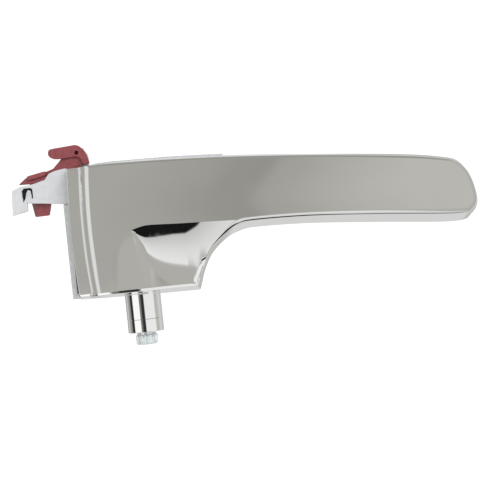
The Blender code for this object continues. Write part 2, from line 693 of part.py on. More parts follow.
def clip_hinge_pin():
    head = CARRIER_BACK_Y + GAP
    profile = [(CLIP_PIN_R, CLIP_Y[0] + 0.7), (CLIP_PIN_R, head), (1.8, head), (1.8, head + 0.8)]
    return new_object("clip_hinge_pin", turned(profile, CLIP_HINGE, "Y", False, 20))


# ---- Finishes and assembly ----

FINISHES = {
    "chrome": ((0.80, 0.80, 0.79, 1), 0.05, 1.0),
    "satin_zinc": ((0.66, 0.68, 0.69, 1), 0.32, 1.0),
    "spring_steel": ((0.35, 0.36, 0.38, 1), 0.35, 1.0),
    "red_plastic": ((0.30, 0.07, 0.08, 1), 0.45, 0.0),
    "dark_plastic": ((0.03, 0.03, 0.032, 1), 0.5, 0.0),
    "white_nylon": ((0.75, 0.74, 0.70, 1), 0.45, 0.0),
    "rubber": ((0.02, 0.02, 0.02, 1), 0.8, 0.0),
}


def finish(thing, name):
    material = bpy.data.materials.new(f"{thing.name}_{name}")
    material.use_nodes = True
    shader = material.node_tree.nodes["Principled BSDF"]
    colour, roughness, metallic = FINISHES[name]
    shader.inputs["Base Color"].default_value = colour
    shader.inputs["Roughness"].default_value = roughness
    shader.inputs["Metallic"].default_value = metallic
    thing.data.materials.append(material)


def axis_empty(name, at):
    empty = bpy.data.objects.new(name, None)
    empty.location = Vector(at) * MM
    bpy.context.scene.collection.objects.link(empty)
    return empty


def hang_on(empty, *things):
    """Parents pieces to an empty and keeps them where they are."""
    for thing in things:
        thing.parent = empty
        thing.matrix_parent_inverse = empty.matrix_basis.inverted()


def build():
    for thing in list(bpy.data.objects):
        bpy.data.objects.remove(thing, do_unlink=True)

    fixed = {pivot_pin(): "satin_zinc", boss_collar(): "chrome", spring_anchor(): "satin_zinc",
             anchor_set_screw(): "spring_steel", return_spring(): "spring_steel",
             washer("lower_thrust_washer", BOSS_FOOT_Z, 4.9): "white_nylon",
             washer("upper_thrust_washer", UPPER_TUBE_Z[1] + GAP, 5.2): "white_nylon",
             retaining_ring(): "spring_steel"}
    lever = {handle_shell(): "chrome", grip_back_cover(): "dark_plastic", grip_stiffener(): "satin_zinc",
             rear_carrier(): "satin_zinc", cable_arm(): "satin_zinc", clip_hinge_pin(): "satin_zinc",
             bush("lower_bush", BOSS_FOOT_Z + WASHER_T + 2 * GAP, LOWER_TUBE_TOP_Z - GAP): "white_nylon",
             bush("upper_bush", UPPER_TUBE_Z[0], UPPER_TUBE_Z[1] - 0.1): "white_nylon"}
    lever |= {thing: "satin_zinc" for thing in [*cover_screws(), *carrier_screws(), *arm_rivets()]}
    lever |= {thing: "rubber" for thing in [*stop_bumpers(), cable_liner()]}
    clip = {cable_clip(): "red_plastic"}
    for group in (fixed, lever, clip):
        for thing, name in group.items():
            finish(thing, name)

    lever_axis = axis_empty("lever_axis", (0, 0, 0))
    clip_axis = axis_empty("clip_axis", (CLIP_HINGE[0], sum(CLIP_Y) / 2, CLIP_HINGE[1]))
    bpy.context.view_layer.update()
    hang_on(lever_axis, *lever, clip_axis)
    hang_on(clip_axis, *clip)
    for thing in [*fixed, *lever, *clip]:
        thing.data.shade_smooth()
        thing.data.set_sharp_from_angle(angle=math.radians(35))


build()
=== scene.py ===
"""Inside door release lever: the finished surfaces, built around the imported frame.

Laid out as a Blender add-on and run as a script. Shapes are described in millimetres in the
frame's own axes: the pivot pin stands along Z, the grip points to +X, the face looks along -Y.
"""

import json
import math

import bmesh
import bpy
from bpy.props import FloatProperty, FloatVectorProperty, PointerProperty
from mathutils import Matrix, Vector
from mathutils.geometry import delaunay_2d_cdt


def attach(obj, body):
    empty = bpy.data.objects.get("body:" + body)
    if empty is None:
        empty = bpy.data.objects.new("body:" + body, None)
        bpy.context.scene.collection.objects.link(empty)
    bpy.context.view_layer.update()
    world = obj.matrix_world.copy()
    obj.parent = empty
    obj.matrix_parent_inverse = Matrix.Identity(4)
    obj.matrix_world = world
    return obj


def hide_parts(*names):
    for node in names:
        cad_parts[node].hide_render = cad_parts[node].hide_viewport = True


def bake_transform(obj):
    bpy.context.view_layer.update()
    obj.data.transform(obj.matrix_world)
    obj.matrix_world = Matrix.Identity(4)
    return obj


bl_info = {
    "name": "Inside Door Release Lever",
    "version": (1, 0, 0),
    "blender": (4, 5, 0),
    "location": "View3D > Sidebar > Door Lever",
    "description": "Builds the chromed lever, its cable arm and clip, and a plain studio",
    "category": "Object",
}

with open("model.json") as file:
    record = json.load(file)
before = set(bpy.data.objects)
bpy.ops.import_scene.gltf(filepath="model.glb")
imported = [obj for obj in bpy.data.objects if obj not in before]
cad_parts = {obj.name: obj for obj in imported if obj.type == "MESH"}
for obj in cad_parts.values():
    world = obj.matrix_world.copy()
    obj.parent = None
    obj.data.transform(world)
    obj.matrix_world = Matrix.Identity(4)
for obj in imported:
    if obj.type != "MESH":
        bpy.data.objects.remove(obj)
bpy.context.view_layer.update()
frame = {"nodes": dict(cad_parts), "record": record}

MM = 0.001

# ---- Lever outline: each pair is a point of the back edge (x, z) and its partner on the face ----
GRIP_EDGE = [
    ((-19.6, 55.05), (-18.9, 53.9)), ((-12.4, 55.3), (-11.9, 53.75)),
    ((-6.0, 55.5), (-5.2, 53.7)), ((13.4, 55.0), (13.0, 53.0)),
    ((35.9, 53.5), (35.5, 51.7)), ((61.5, 51.1), (60.8, 49.5)),
    ((87.1, 48.3), (85.9, 46.5)), ((99.8, 46.2), (97.8, 44.5)),
    ((105.4, 44.2), (102.9, 42.8)), ((108.8, 39.2), (106.2, 38.9)),
    ((110.5, 31.4), (107.6, 32.2)), ((108.2, 27.0), (106.3, 29.4)),
    ((102.4, 25.0), (102.2, 28.8)), ((78.4, 27.2), (78.0, 31.1)),
    ((56.0, 29.2), (56.0, 32.7)), ((38.5, 29.8), (38.5, 33.1)),
    ((33.3, 29.1), (32.6, 32.5)), ((29.0, 27.3), (27.8, 28.9)),
    ((24.1, 23.2), (23.2, 24.3)), ((21.0, 18.0), (20.0, 18.6)),
    ((19.0, 12.3), (18.25, 14.8)),
]
HUB_FOOT = [((18.2, 11.6), (17.5, 14.1)), ((0.0, 11.8), (0.0, 14.1)),
            ((-19.4, 12.35), (-18.9, 14.0))]
FLANGE_SIDE = [((-20.25, 13.2), (-19.6, 14.8)), ((-20.9, 34.0), (-20.3, 34.0)),
               ((-20.35, 54.2), (-19.6, 53.2))]
CORNERS = [((18.9, 11.6), (18.1, 14.1)), ((-20.2, 12.4), (-19.5, 14.0)),
           ((-20.3, 55.0), (-19.6, 53.9))]
RECESS_TOP = [(-0.6, 32.8), (2.1, 33.5), (5.3, 33.8), (14.8, 33.3), (24.4, 32.9), (32.6, 32.5)]
RECESS_FOOT = [(-0.6, 32.8), (0.4, 30.5), (1.7, 27.8), (3.6, 24.7), (6.5, 22.4),
               (10.2, 20.9), (14.9, 19.9), (19.3, 19.0)]

FRONT_Y = -9.0
SHELL_BACK_Y = 0.5
RIM_WALL = 2.0
ROUND_X = -12.8
ROUND_WIDTH = 4.0
ROUND_SWEEP = math.radians(75)
ROUNDING_Z = (14.4, 53.3)
FLANGE_RECESS = 4.8
LEFT_BOW = 0.0023
LEFT_BOW_Z = 34.0
HUB_SLOPE_X = -9.0     # the lower hub falls back from here to the right
HUB_EASE = 4.0
HUB_RUN = 28.0
HUB_DROP = 2.0
SOFT_HEIGHT = 22.0     # left of the recess it blends softly into the upper hub over this height
RECESS_STEEP = [(-0.6, 0.28), (2.0, 0.25), (5.0, 0.225), (8.0, 0.21), (12.0, 0.2), (16.0, 0.197),
                (18.0, 0.187), (20.0, 0.178), (22.0, 0.165), (26.0, 0.145), (32.6, 0.12)]
FOOT_STEEP = 0.07      # slope where the recess meets the lower hub
BLEND_DEPTH = 0.3
BLEND_HEIGHT = 7.0     # the recess's left edge is sharp at its top and soft from here down
HUB_EDGE_WIDTH = 1.45  # the hub turns away in a narrow strip beside its right edge
HUB_EDGE_EASE = 0.4
HUB_EDGE_STEEP = 0.5
HUB_EDGE_TOP = 22.0    # the strip fades out over HUB_EDGE_FADE below this
HUB_EDGE_FADE = 3
HUB_EDGE_LEFT = 14     # nothing left of here belongs to the strip
# Edge between face and side: part of the side's lean, and depth behind the face.
EDGE_PROFILE = [(0.0, 0.0), (0.06, 0.008), (0.14, 0.035), (0.22, 0.07), (0.3, 0.115), (0.35, 0.15),
                (0.385, 0.2), (0.41, 0.29), (0.43, 0.44), (0.445, 0.64)]
FLANGE_FINE_X = -10.5  # the outline is three times finer left of here, where the face turns away
CAVITY_LEFT_X = -10.8
FACE_WALL = 1.6

# ---- Turned pieces: (radius, height) points ----
BOSS_BARREL = [(4.3, 4.9), (4.3, 4.25), (5.6, 4.25), (5.7, 4.25), (5.75, 4.3), (5.75, 4.36), (5.75, 4.6),
               (5.75, 20.0), (4.3, 20.0)]
UPPER_TUBE = [(4.3, 40.0), (5.75, 40.0), (5.75, 45.0), (4.3, 45.0)]
COLLAR = [(3.15, 1.0), (4.0, 0.0), (5.4, 0.0), (5.55, 0.0), (5.69, 0.06), (5.75, 0.2), (5.75, 0.3),
          (5.75, 0.6), (5.75, 3.8), (5.75, 4.03), (5.75, 4.09), (5.7, 4.14), (5.6, 4.14), (3.15, 4.14)]
RIVET = [(1.9, 0.5), (1.3, 0.75), (1.3, 8.9), (2.25, 8.9), (2.3, 9.3), (2.0, 9.75), (1.4, 10.0),
         (0.6, 10.05)]
BUMPER = [(1.9, 5.6), (1.9, 6.3), (1.5, 6.3), (1.5, 8.9), (3.1, 8.9), (3.3, 9.1), (3.3, 10.2),
          (3.15, 10.7), (2.8, 11.05), (2.2, 11.25), (1.2, 11.3)]
HINGE_PIN = [(0.9, 5.4), (0.9, 8.9), (1.7, 8.9), (1.8, 9.1), (1.7, 9.5), (1.2, 9.7)]
PIN_STEM = [(3.0, -0.7), (3.0, 46.1), (2.5, 46.1), (2.5, 47.1), (3.0, 47.1), (3.0, 48.1), (2.6, 48.5)]
KNURL_ROOT_R = 3.14
KNURL_DEPTH = 0.36
# Height and change of radius at each ring of the knurl.
KNURL_ENDS = [(-4.0, -0.5), (-3.85, -0.22), (-3.5, 0.0), (-1.15, 0.0), (-0.8, -0.3)]

# ---- Pieces behind and beside the lever ----
GRIP_SCREWS = [(41.0, 41.8), (69.0, 39.6), (96.0, 37.0)]
CARRIER_SCREWS = [(-10.5, 19.5), (13.5, 19.0), (-9.5, 48.0), (25.0, 46.0)]
CARRIER_SCREW = {"radius": 1.2, "low": -2.0, "seat": 8.9, "head_radius": 2.7, "head_height": 1.6}
COVER_SCREW = {"radius": 1.0, "low": -5.8, "seat": 0.3, "head_radius": 2.0, "head_height": 0.75}
BUMPERS = [(20.0, 33.0), (-17.5, 24.0)]
RIVETS = [(-17.8, 46.2), (-17.8, 51.2)]
SPRING_Z = (25.9, 35.5)
SPRING_R = 4.2
SPRING_TURNS = 6.5
WIRE_R = 0.5
POST_ROOT = 1.0        # the posts start this far inside the face wall
ARM_Y = (0.8, 2.3)
ARM_OUTLINE = [(-14.0, 43.5), (-14.0, 53.9), (-21.0, 55.0), (-24.2, 54.5), (-26.2, 53.8),
               (-27.7, 52.0), (-31.7, 51.0), (-36.0, 50.5), (-38.5, 49.6), (-38.9, 45.7),
               (-39.0, 41.5), (-36.2, 42.0), (-34.0, 42.4), (-34.0, 45.1), (-33.0, 44.9),
               (-28.5, 44.4), (-22.2, 43.5)]
ARM_SLOT = [(-35.2, 45.4), (-35.4, 47.3), (-35.4, 49.2), (-34.6, 49.9), (-32.6, 49.9),
            (-31.9, 49.3), (-31.9, 46.4), (-32.3, 46.4), (-32.5, 49.0), (-33.3, 49.2),
            (-33.9, 48.2), (-34.4, 46.6)]
# A black rubber sheet behind the arm's slot, its depth and outline: painted shade that makes the slot look
# dark.
SLOT_SHADE_SHEET_Y = (2.4, 2.8)
SLOT_SHADE_SHEET_OUTLINE = [(-35.9, 45.2), (-31.3, 45.2), (-31.3, 50.2), (-34.6, 50.3), (-35.9, 49.6)]
CLIP_Y = (2.9, 5.9)
CLIP_HINGE = (-16.7, 59.0)
CLIP_BODY = [(-13.4, 56.1), (-14.4, 59.6), (-15.4, 61.1), (-17.0, 61.9), (-22.8, 61.5), (-25.0, 61.2),
             (-25.4, 60.4), (-25.0, 59.5), (-24.0, 59.0), (-21.9, 58.6), (-23.3, 57.1), (-25.0, 55.5),
             (-27.2, 54.8), (-33.0, 53.6), (-33.0, 45.5), (-26.6, 45.5), (-26.4, 49.4), (-24.4, 52.4),
             (-20.0, 55.2), (-16.5, 55.7)]
CLIP_FRONT = [(-12.9, 56.1), (-13.3, 57.9), (-13.9, 59.6), (-14.9, 61.1), (-15.9, 62.0), (-17.0, 62.4),
              (-22.8, 62.0), (-24.9, 61.85), (-25.7, 61.5), (-26.0, 60.6), (-25.9, 59.7), (-25.3, 59.0),
              (-24.3, 58.5), (-22.9, 58.35), (-21.0, 58.4), (-19.1, 58.6), (-17.5, 58.7), (-16.3, 58.5),
              (-15.5, 57.6), (-15.1, 56.0)]
CLIP_HOLE = (-16.8, 59.8)
CLIP_HOLE_R = 0.68
# The block under the arm: its front and its wider back.
CLIP_BLOCK = [(2.9, [(-31.7, 47.0), (-31.6, 40.4), (-27.7, 40.5), (-26.8, 44.1), (-26.8, 47.0)]),
              (5.9, [(-33.6, 47.0), (-32.6, 40.7), (-27.8, 40.7), (-26.9, 44.1), (-26.9, 47.0)])]
CLIP_WEDGE = [(-36.2, 51.3), (-34.2, 52.9), (-32.8, 53.7), (-28.0, 53.6), (-27.2, 52.6), (-28.5, 51.8),
              (-31.9, 51.2)]


class LeverSizes(bpy.types.PropertyGroup):
    """Sizes of the lever's finished surfaces."""
    edge_step: FloatProperty(
        name="Edge Step", description="Spacing of the points along the outline",
        default=0.0009, subtype="DISTANCE", unit="LENGTH")
    face_step: FloatProperty(
        name="Face Step", description="Spacing of the points on the shaped part of the face",
        default=0.0007, subtype="DISTANCE", unit="LENGTH")


class LeverColours(bpy.types.PropertyGroup):
    """Base colours of the finishes."""
    chrome: FloatVectorProperty(
        name="Chrome", description="Tint of the chrome plating",
        default=(0.90, 0.90, 0.89, 1), size=4, subtype="COLOR")
    zinc: FloatVectorProperty(
        name="Satin Zinc", description="Plating of the arm and the carrier",
        default=(0.79, 0.805, 0.83, 1), size=4, subtype="COLOR")
    bright_zinc: FloatVectorProperty(
        name="Bright Zinc", description="Plating of the pin, screws and rivets",
        default=(0.88, 0.94, 0.98, 1), size=4, subtype="COLOR")
    red: FloatVectorProperty(
        name="Clip Red", description="Moulded colour of the cable clip",
        default=(0.285, 0.068, 0.076, 1), size=4, subtype="COLOR")
    black: FloatVectorProperty(
        name="Cover Black", description="Moulded colour of the grip's back cover",
        default=(0.03, 0.03, 0.032, 1), size=4, subtype="COLOR")


class StudioSettings(bpy.types.PropertyGroup):
    """Camera and light."""
    lean: FloatProperty(
        name="Lean", description="How far the pivot leans in the picture",
        default=math.radians(6), subtype="ANGLE", unit="ROTATION")
    distance: FloatProperty(
        name="Camera Distance", description="From the pivot axis to the camera along Y",
        default=0.429, subtype="DISTANCE", unit="LENGTH")
    focal_length: FloatProperty(
        name="Focal Length", description="Focal length in millimetres on a 36 mm sensor", default=97.96)
    surround: FloatProperty(
        name="Surround", description="Brightness of the reflected studio", default=1.13)
    key_power: FloatProperty(
        name="Key Power", description="Power of the key light, in watts", default=4.0)


# ---- Curves ----

def smooth_through(points, step):
    """Catmull-Rom curve through points of any size, about one sample per step of length."""
    points = [Vector(p) for p in points]
    padded = [2 * points[0] - points[1], *points, 2 * points[-1] - points[-2]]
    samples = []
    for a, b, c, d in zip(padded, padded[1:], padded[2:], padded[3:]):
        count = max(1, round((c - b).length / step))
        for i in range(count):
            t = i / count
            samples.append(0.5 * (2 * b + (c - a) * t + (2 * a - 5 * b + 4 * c - d) * t ** 2
                                  + (3 * b - a - 3 * c + d) * t ** 3))
    return samples + [points[-1]]


def bend(a, corner, b, count):
    """Points of a rounded corner, without its ends."""
    a, corner, b = Vector(a), Vector(corner), Vector(b)
    return [(1 - t) ** 2 * a + 2 * t * (1 - t) * corner + t ** 2 * b
            for t in ((i + 1) / (count + 1) for i in range(count))]


def value_at(curve, x):
    """Height of a left-to-right curve at x, held level beyond its ends."""
    if x <= curve[0][0]:
        return curve[0][1]
    for (x0, z0), (x1, z1) in zip(curve, curve[1:]):
        if x <= x1:
            return z0 + (z1 - z0) * (x - x0) / (x1 - x0)
    return curve[-1][1]


def smoothstep(t):
    t = min(1.0, max(0.0, t))
    return t * t * (3 - 2 * t)


def is_inside(outline, x, z):
    hit = False
    for (x0, z0), (x1, z1) in zip(outline, outline[1:] + outline[:1]):
        if (z0 > z) != (z1 > z) and x < x0 + (x1 - x0) * (z - z0) / (z1 - z0):
            hit = not hit
    return hit


def edge_distance(outline, x, z):
    """Distance from a point to the nearest stretch of a closed outline."""
    nearest = math.inf
    for (ax, az), (bx, bz) in zip(outline, outline[1:] + outline[:1]):
        span_x, span_z = bx - ax, bz - az
        along = ((x - ax) * span_x + (z - az) * span_z) / (span_x ** 2 + span_z ** 2)
        along = min(1.0, max(0.0, along))
        nearest = min(nearest, math.hypot(x - ax - along * span_x, z - az - along * span_z))
    return nearest


def inset(outline, amount):
    """Moves a closed outline inwards, leaving out points that would cross or crowd each other."""
    area = sum(a[0] * b[1] - b[0] * a[1] for a, b in zip(outline, outline[1:] + outline[:1]))
    side = 1 if area > 0 else -1
    moved = []
    for before, here, after in zip(outline[-1:] + outline[:-1], outline, outline[1:] + outline[:1]):
        one = (Vector(here) - Vector(before)).normalized()
        two = (Vector(after) - Vector(here)).normalized()
        normal = Vector((-(one.y + two.y), one.x + two.x)).normalized() * side
        reach = max(0.5, normal.dot(Vector((-one.y, one.x)) * side))
        point = tuple(Vector(here) + normal * amount / reach)
        if edge_distance(outline, *point) > 0.97 * amount and (
                not moved or math.dist(point, moved[-1]) > 0.4 < math.dist(point, moved[0])):
            moved.append(point)
    return moved


RECESS_TOP_CURVE = [tuple(p) for p in smooth_through(RECESS_TOP, 0.5)]
RECESS_FOOT_CURVE = [tuple(p) for p in smooth_through(RECESS_FOOT, 0.5)]
HUB_EDGE_CURVE = sorted((z, x) for _, (x, z) in GRIP_EDGE[-4:])


def left_line(x, z):
    return x + LEFT_BOW * (z - LEFT_BOW_Z) ** 2


def left_rounding(x, z):
    turn = (left_line(ROUND_X, z) - x) / ROUND_WIDTH
    if turn <= 0:
        return 0.0
    if turn >= 1:
        return FLANGE_RECESS
    fall = 1 - math.sqrt(1 - (turn * math.sin(ROUND_SWEEP)) ** 2)
    return FLANGE_RECESS * fall / (1 - math.cos(ROUND_SWEEP))


def lower_hub(x, z):
    """Depth of the lower hub, whose top right is the sharp-edged finger recess."""
    if x < HUB_SLOPE_X or x > RECESS_TOP[-1][0]:
        return 0.0
    top = value_at(RECESS_TOP_CURVE, x)
    if z >= top:
        return 0.0
    run = x - HUB_SLOPE_X
    run = run * run / (2 * HUB_EASE) if run < HUB_EASE else run - HUB_EASE / 2
    soft = HUB_DROP * (1 - (1 - min(1.0, run / HUB_RUN)) ** 2) * smoothstep((top - z) / SOFT_HEIGHT)
    if x < RECESS_TOP[0][0]:
        return soft
    span = max(0.3, top - value_at(RECESS_FOOT_CURVE, x))
    steep = value_at(RECESS_STEEP, x)
    reach = span / (1 - FOOT_STEEP / steep)
    recess = steep * reach / 2 * (1 - (1 - min(1.0, (top - z) / reach)) ** 2)
    blend = BLEND_DEPTH * smoothstep((top - z) / BLEND_HEIGHT)
    gap = max(0.0, 1 - abs(soft - recess) / blend) if blend else 0.0
    return max(soft, recess) + blend * gap * gap / 4


def hub_edge(x, z):
    """Extra depth of the narrow strip down the hub's right edge."""
    if z > HUB_EDGE_TOP or x < HUB_EDGE_LEFT:
        return 0.0
    into = HUB_EDGE_WIDTH - (value_at(HUB_EDGE_CURVE, z) - x)
    if into <= 0:
        return 0.0
    reach = into - HUB_EDGE_EASE / 2 if into > HUB_EDGE_EASE else into * into / (2 * HUB_EDGE_EASE)
    return HUB_EDGE_STEEP * reach * smoothstep((HUB_EDGE_TOP - z) / HUB_EDGE_FADE)


def face_y(x, z):
    return FRONT_Y + left_rounding(x, z) + lower_hub(x, z) + hub_edge(x, z)


def face_normal(x, z):
    h = 0.01
    slope_x = (face_y(x + h, z) - face_y(x - h, z)) / (2 * h)
    slope_z = (face_y(x, z + h) - face_y(x, z - h)) / (2 * h)
    return Vector((slope_x, -1, slope_z)).normalized()


# ---- Meshes ----

def new_piece(name, vertices, faces, material, body, slot, replaced=(), normals=None):
    """A piece that rides on a body. It takes a finish; its slot argument, the frame's slot that this stands
    for, is not used.
    replaced names the CAD nodes it stands in for, and normals gives one vector per face corner."""
    mesh = bpy.data.meshes.new(name)
    mesh.from_pydata([Vector(v) * MM for v in vertices], [], faces)
    if normals is None:
        shape = bmesh.new()
        shape.from_mesh(mesh)
        bmesh.ops.recalc_face_normals(shape, faces=shape.faces)
        shape.to_mesh(mesh)
        shape.free()
        mesh.shade_smooth()
        mesh.set_sharp_from_angle(angle=math.radians(32))
    else:
        mesh.shade_smooth()
        mesh.normals_split_custom_set(normals)
    mesh.materials.append(material)
    piece = bpy.data.objects.new(name, mesh)
    bpy.context.scene.collection.objects.link(piece)
    if body:
        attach(piece, body)
    if replaced:
        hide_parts(*replaced)
    return piece


def rounded(piece, width, segments=3, angle=35):
    """Rounds a piece's sharp edges."""
    modifier = piece.modifiers.new("edges", "BEVEL")
    modifier.width = width * MM
    modifier.segments = segments
    modifier.limit_method = "ANGLE"
    modifier.angle_limit = math.radians(angle)
    modifier.harden_normals = True
    return piece


def filled(loops, extra=(), creases=()):
    """Triangles over a flat region: the first loop is its edge, the others are its holes.
    Returns the points, the triangles and how many points lie on the loops."""
    points, edges = [], []
    for loop in loops:
        first = len(points)
        points += [Vector(p) for p in loop]
        edges += [(first + i, first + (i + 1) % len(loop)) for i in range(len(loop))]
    border = len(points)
    for line in creases:
        first = len(points)
        points += [Vector(p) for p in line]
        edges += [(first + i, first + i + 1) for i in range(len(line) - 1)]
    points += [Vector(p) for p in extra]
    found, _, faces, origins, _, _ = delaunay_2d_cdt(points, edges, [], 1, 1e-6)
    if any(origin[:1] != [i] for i, origin in enumerate(origins[:border])):
        raise ValueError("an outline point was lost")
    kept = []
    for face in faces:
        middle = sum((found[i] for i in face), Vector((0, 0))) / len(face)
        if not any(is_inside(loop, *middle) for loop in loops[1:]):
            kept.append(tuple(face))
    return [tuple(p) for p in found], kept, border


def slab(outline, low_y, high_y, holes=(), extra=()):
    """An outline in X and Z with holes, as thick as low_y to high_y."""
    points, faces, _ = filled([outline, *holes], extra)
    vertices = [(x, low_y, z) for x, z in points] + [(x, high_y, z) for x, z in points]
    offset = len(points)
    mesh = [*faces, *(tuple(i + offset for i in reversed(face)) for face in faces)]
    first = 0
    for loop in [outline, *holes]:
        for i in range(len(loop)):
            a, b = first + i, first + (i + 1) % len(loop)
            mesh.append((a, b, b + offset, a + offset))
        first += len(loop)
    return vertices, mesh


def joined(*parts):
    vertices, faces = [], []
    for part_vertices, part_faces in parts:
        first = len(vertices)
        vertices += part_vertices
        faces += [tuple(i + first for i in face) for face in part_faces]
    return vertices, faces


def skinned(rings, closed):
    """Skins a list of equal rings; closed joins the last to the first, else both are capped."""
    count = len(rings[0])
    vertices = [tuple(point) for ring in rings for point in ring]
    faces = []
    for r in range(len(rings) if closed else len(rings) - 1):
        a, b = r * count, (r + 1) % len(rings) * count
        faces += [(a + i, a + (i + 1) % count, b + (i + 1) % count, b + i) for i in range(count)]
    if not closed:
        faces += [tuple(range(count)), tuple(range(len(vertices) - count, len(vertices)))]
    return vertices, faces


def circle(x, z, radius, count):
    return [(x + radius * math.cos(2 * math.pi * i / count),
             z + radius * math.sin(2 * math.pi * i / count)) for i in range(count)]


def turned(profile, centre=(0.0, 0.0), along="Z", closed=False, count=64):
    """Turns (radius, height) points about an axis through centre, along Z or along Y."""
    rings = []
    for radius, height in profile:
        points = circle(*centre, radius, count)
        rings.append([(a, b, height) if along == "Z" else (a, height, b) for a, b in points])
    return skinned(rings, closed)


def post(at, radius, bore, low, high):
    """A bored screw post along Y."""
    profile = [(radius, low), (radius, high), (bore, high), (bore, low)]
    return turned(profile, at, "Y", True, 32)


def swept(points, radius, sides):
    """A round wire along points that run about the Z axis."""
    rings = []
    for i, here in enumerate(points):
        ahead = points[min(i + 1, len(points) - 1)] - points[max(i - 1, 0)]
        across = Vector((here.x, here.y, 0)).normalized()
        side = (across - across.project(ahead)).normalized()
        if side.length < 0.5:
            side = Vector((0, 0, 1))
        up = ahead.cross(side).normalized()
        rings.append([here + radius * (side * math.cos(a) + up * math.sin(a))
                      for a in (2 * math.pi * k / sides for k in range(sides))])
    return skinned(rings, False)


def spring_path():
    """Coil from the anchor's hole up to the leg that bears on the lever."""
    low, high = SPRING_Z
    start = Vector((SPRING_R, 0.0, low))
    points = [start - Vector((0, 0, 2.2)), start - Vector((0, 0, 1.1))]
    steps = int(SPRING_TURNS * 40)
    for i in range(steps + 1):
        angle = 2 * math.pi * SPRING_TURNS * i / steps
        points.append(Vector((SPRING_R * math.cos(angle), SPRING_R * math.sin(angle),
                              low + (high - low) * i / steps)))
    return points + [Vector((-6.0, 0.9, high + 0.1)), Vector((-9.4, 0.4, high + 0.1))]


def knurled_pin():
    """The pivot pin with its knurled foot and the groove for its ring."""
    teeth, shape = 24, (0.0, 0.12, 0.7, 1.0, 0.7, 0.12)
    per_tooth = len(shape)
    rings = []
    for z, grow in KNURL_ENDS:
        ring = []
        for i in range(teeth * per_tooth):
            angle = 2 * math.pi * i / (teeth * per_tooth)
            radius = KNURL_ROOT_R + grow + KNURL_DEPTH * shape[i % per_tooth]
            ring.append((radius * math.cos(angle), radius * math.sin(angle), z))
        rings.append(ring)
    for radius, z in PIN_STEM:
        rings.append([(x, y, z) for x, y in circle(0, 0, radius, teeth * per_tooth)])
    return skinned(rings, False)


def arm_bend(x, z):
    """How far the stamped arm is pressed out of its plane: its end tab, fold and tongue."""
    tab = 0.12 * max(0.0, -35.9 - x)
    fold = -0.45 * smoothstep((44.6 - z) / 0.7) if x < -33.8 else 0.0
    on_tongue = -34.4 < x < -32.2 and 46.2 < z < 49.3
    tongue = -0.9 * smoothstep((z - 46.2) / 2.8) if on_tongue else 0.0
    return tab + fold + tongue


def clip_bar_rings():
    """The clip's sloping bar, as cross-sections from its root to its free end."""
    root, end = Vector((-27.2, 2.2, 54.1)), Vector((-33.3, 2.2, 53.0))
    rings = []
    for t, size in ((0.0, 0.8), (0.1, 1.0), (0.92, 1.0), (1.0, 0.85)):
        middle = root.lerp(end, t)
        section = [(-1.8 * size, -0.75 * size), (-1.35 * size, 0.7 * size),
                   (1.2, 0.9 * size), (1.2, -0.75 * size)]
        rings.append([(middle.x, middle.y + a, middle.z + b) for a, b in section])
    return rings


def screw(at, radius, low, seat, head_radius, head_height):
    """A screw along Y with a domed head and a six-lobed socket in it."""
    count = 48
    rings = []
    for r, y in ((radius * 0.6, low), (radius, low + 0.6), (radius, seat), (head_radius - 0.1, seat),
                 (head_radius, seat + 0.15), (head_radius, seat + 0.35 * head_height),
                 (head_radius * 0.9, seat + 0.75 * head_height), (head_radius * 0.7, seat + head_height)):
        rings.append([(a, y, b) for a, b in circle(*at, r, count)])
    for y in (seat + head_height, seat + 0.4 * head_height):
        ring = []
        for i in range(count):
            angle = 2 * math.pi * i / count
            lobed = head_radius * (0.46 + 0.07 * math.cos(6 * angle))
            ring.append((at[0] + lobed * math.cos(angle), y, at[1] + lobed * math.sin(angle)))
        rings.append(ring)
    return skinned(rings, False)


def refined(node, name, material, width):
    """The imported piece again, with its flat facets merged and its edges rounded."""
    source = frame["nodes"][node]
    mesh = source.data.copy()
    mesh.transform(source.matrix_world)
    mesh.name = name
    shape = bmesh.new()
    shape.from_mesh(mesh)
    bmesh.ops.remove_doubles(shape, verts=shape.verts, dist=2e-6)
    bmesh.ops.dissolve_limit(shape, angle_limit=math.radians(1.5), verts=shape.verts, edges=shape.edges)
    shape.to_mesh(mesh)
    shape.free()
    mesh.materials.clear()
    mesh.materials.append(material)
    mesh.shade_smooth()
    mesh.set_sharp_from_angle(angle=math.radians(32))
    piece = bpy.data.objects.new(name, mesh)
    bpy.context.scene.collection.objects.link(piece)
    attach(piece, "lever")
    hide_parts(node)
    return rounded(piece, width)


# ---- Materials ----

class Web:
    """Adds and links shader nodes."""

    def __init__(self, tree):
        self.tree = tree

    def node(self, kind, inputs=None, **settings):
        node = self.tree.nodes.new(kind)
        for key, value in settings.items():
            setattr(node, key, value)
        for key, value in (inputs or {}).items():
            self.give(node.inputs[key], value)
        return node

    def give(self, socket, value):
        if isinstance(value, bpy.types.NodeSocket):
            self.tree.links.new(value, socket)
        else:
            socket.default_value = value

    def calc(self, operation, *values, clamp=False):
        node = self.node("ShaderNodeMath", operation=operation, use_clamp=clamp)
        for socket, value in zip(node.inputs, values):
            self.give(socket, value)
        return node.outputs[0]

    def span(self, value, low, high, to_low=0.0, to_high=1.0, smooth=True):
        node = self.node("ShaderNodeMapRange", {"Value": value, "From Min": low, "From Max": high,
                                                "To Min": to_low, "To Max": to_high})
        node.interpolation_type = "SMOOTHSTEP" if smooth else "LINEAR"
        return node.outputs["Result"]

    def mix(self, share, a, b):
        node = self.node("ShaderNodeMix", data_type="RGBA")
        self.give(node.inputs[0], share)
        self.give(node.inputs[6], a)
        self.give(node.inputs[7], b)
        return node.outputs[2]

    def ramp(self, value, stops):
        node = self.node("ShaderNodeValToRGB", {"Fac": value})
        elements = node.color_ramp.elements
        while len(elements) > 1:
            elements.remove(elements[-1])
        for i, (place, colour) in enumerate(stops):
            element = elements[0] if i == 0 else elements.new(place)
            element.position = place
            element.color = colour
        return node.outputs["Color"]


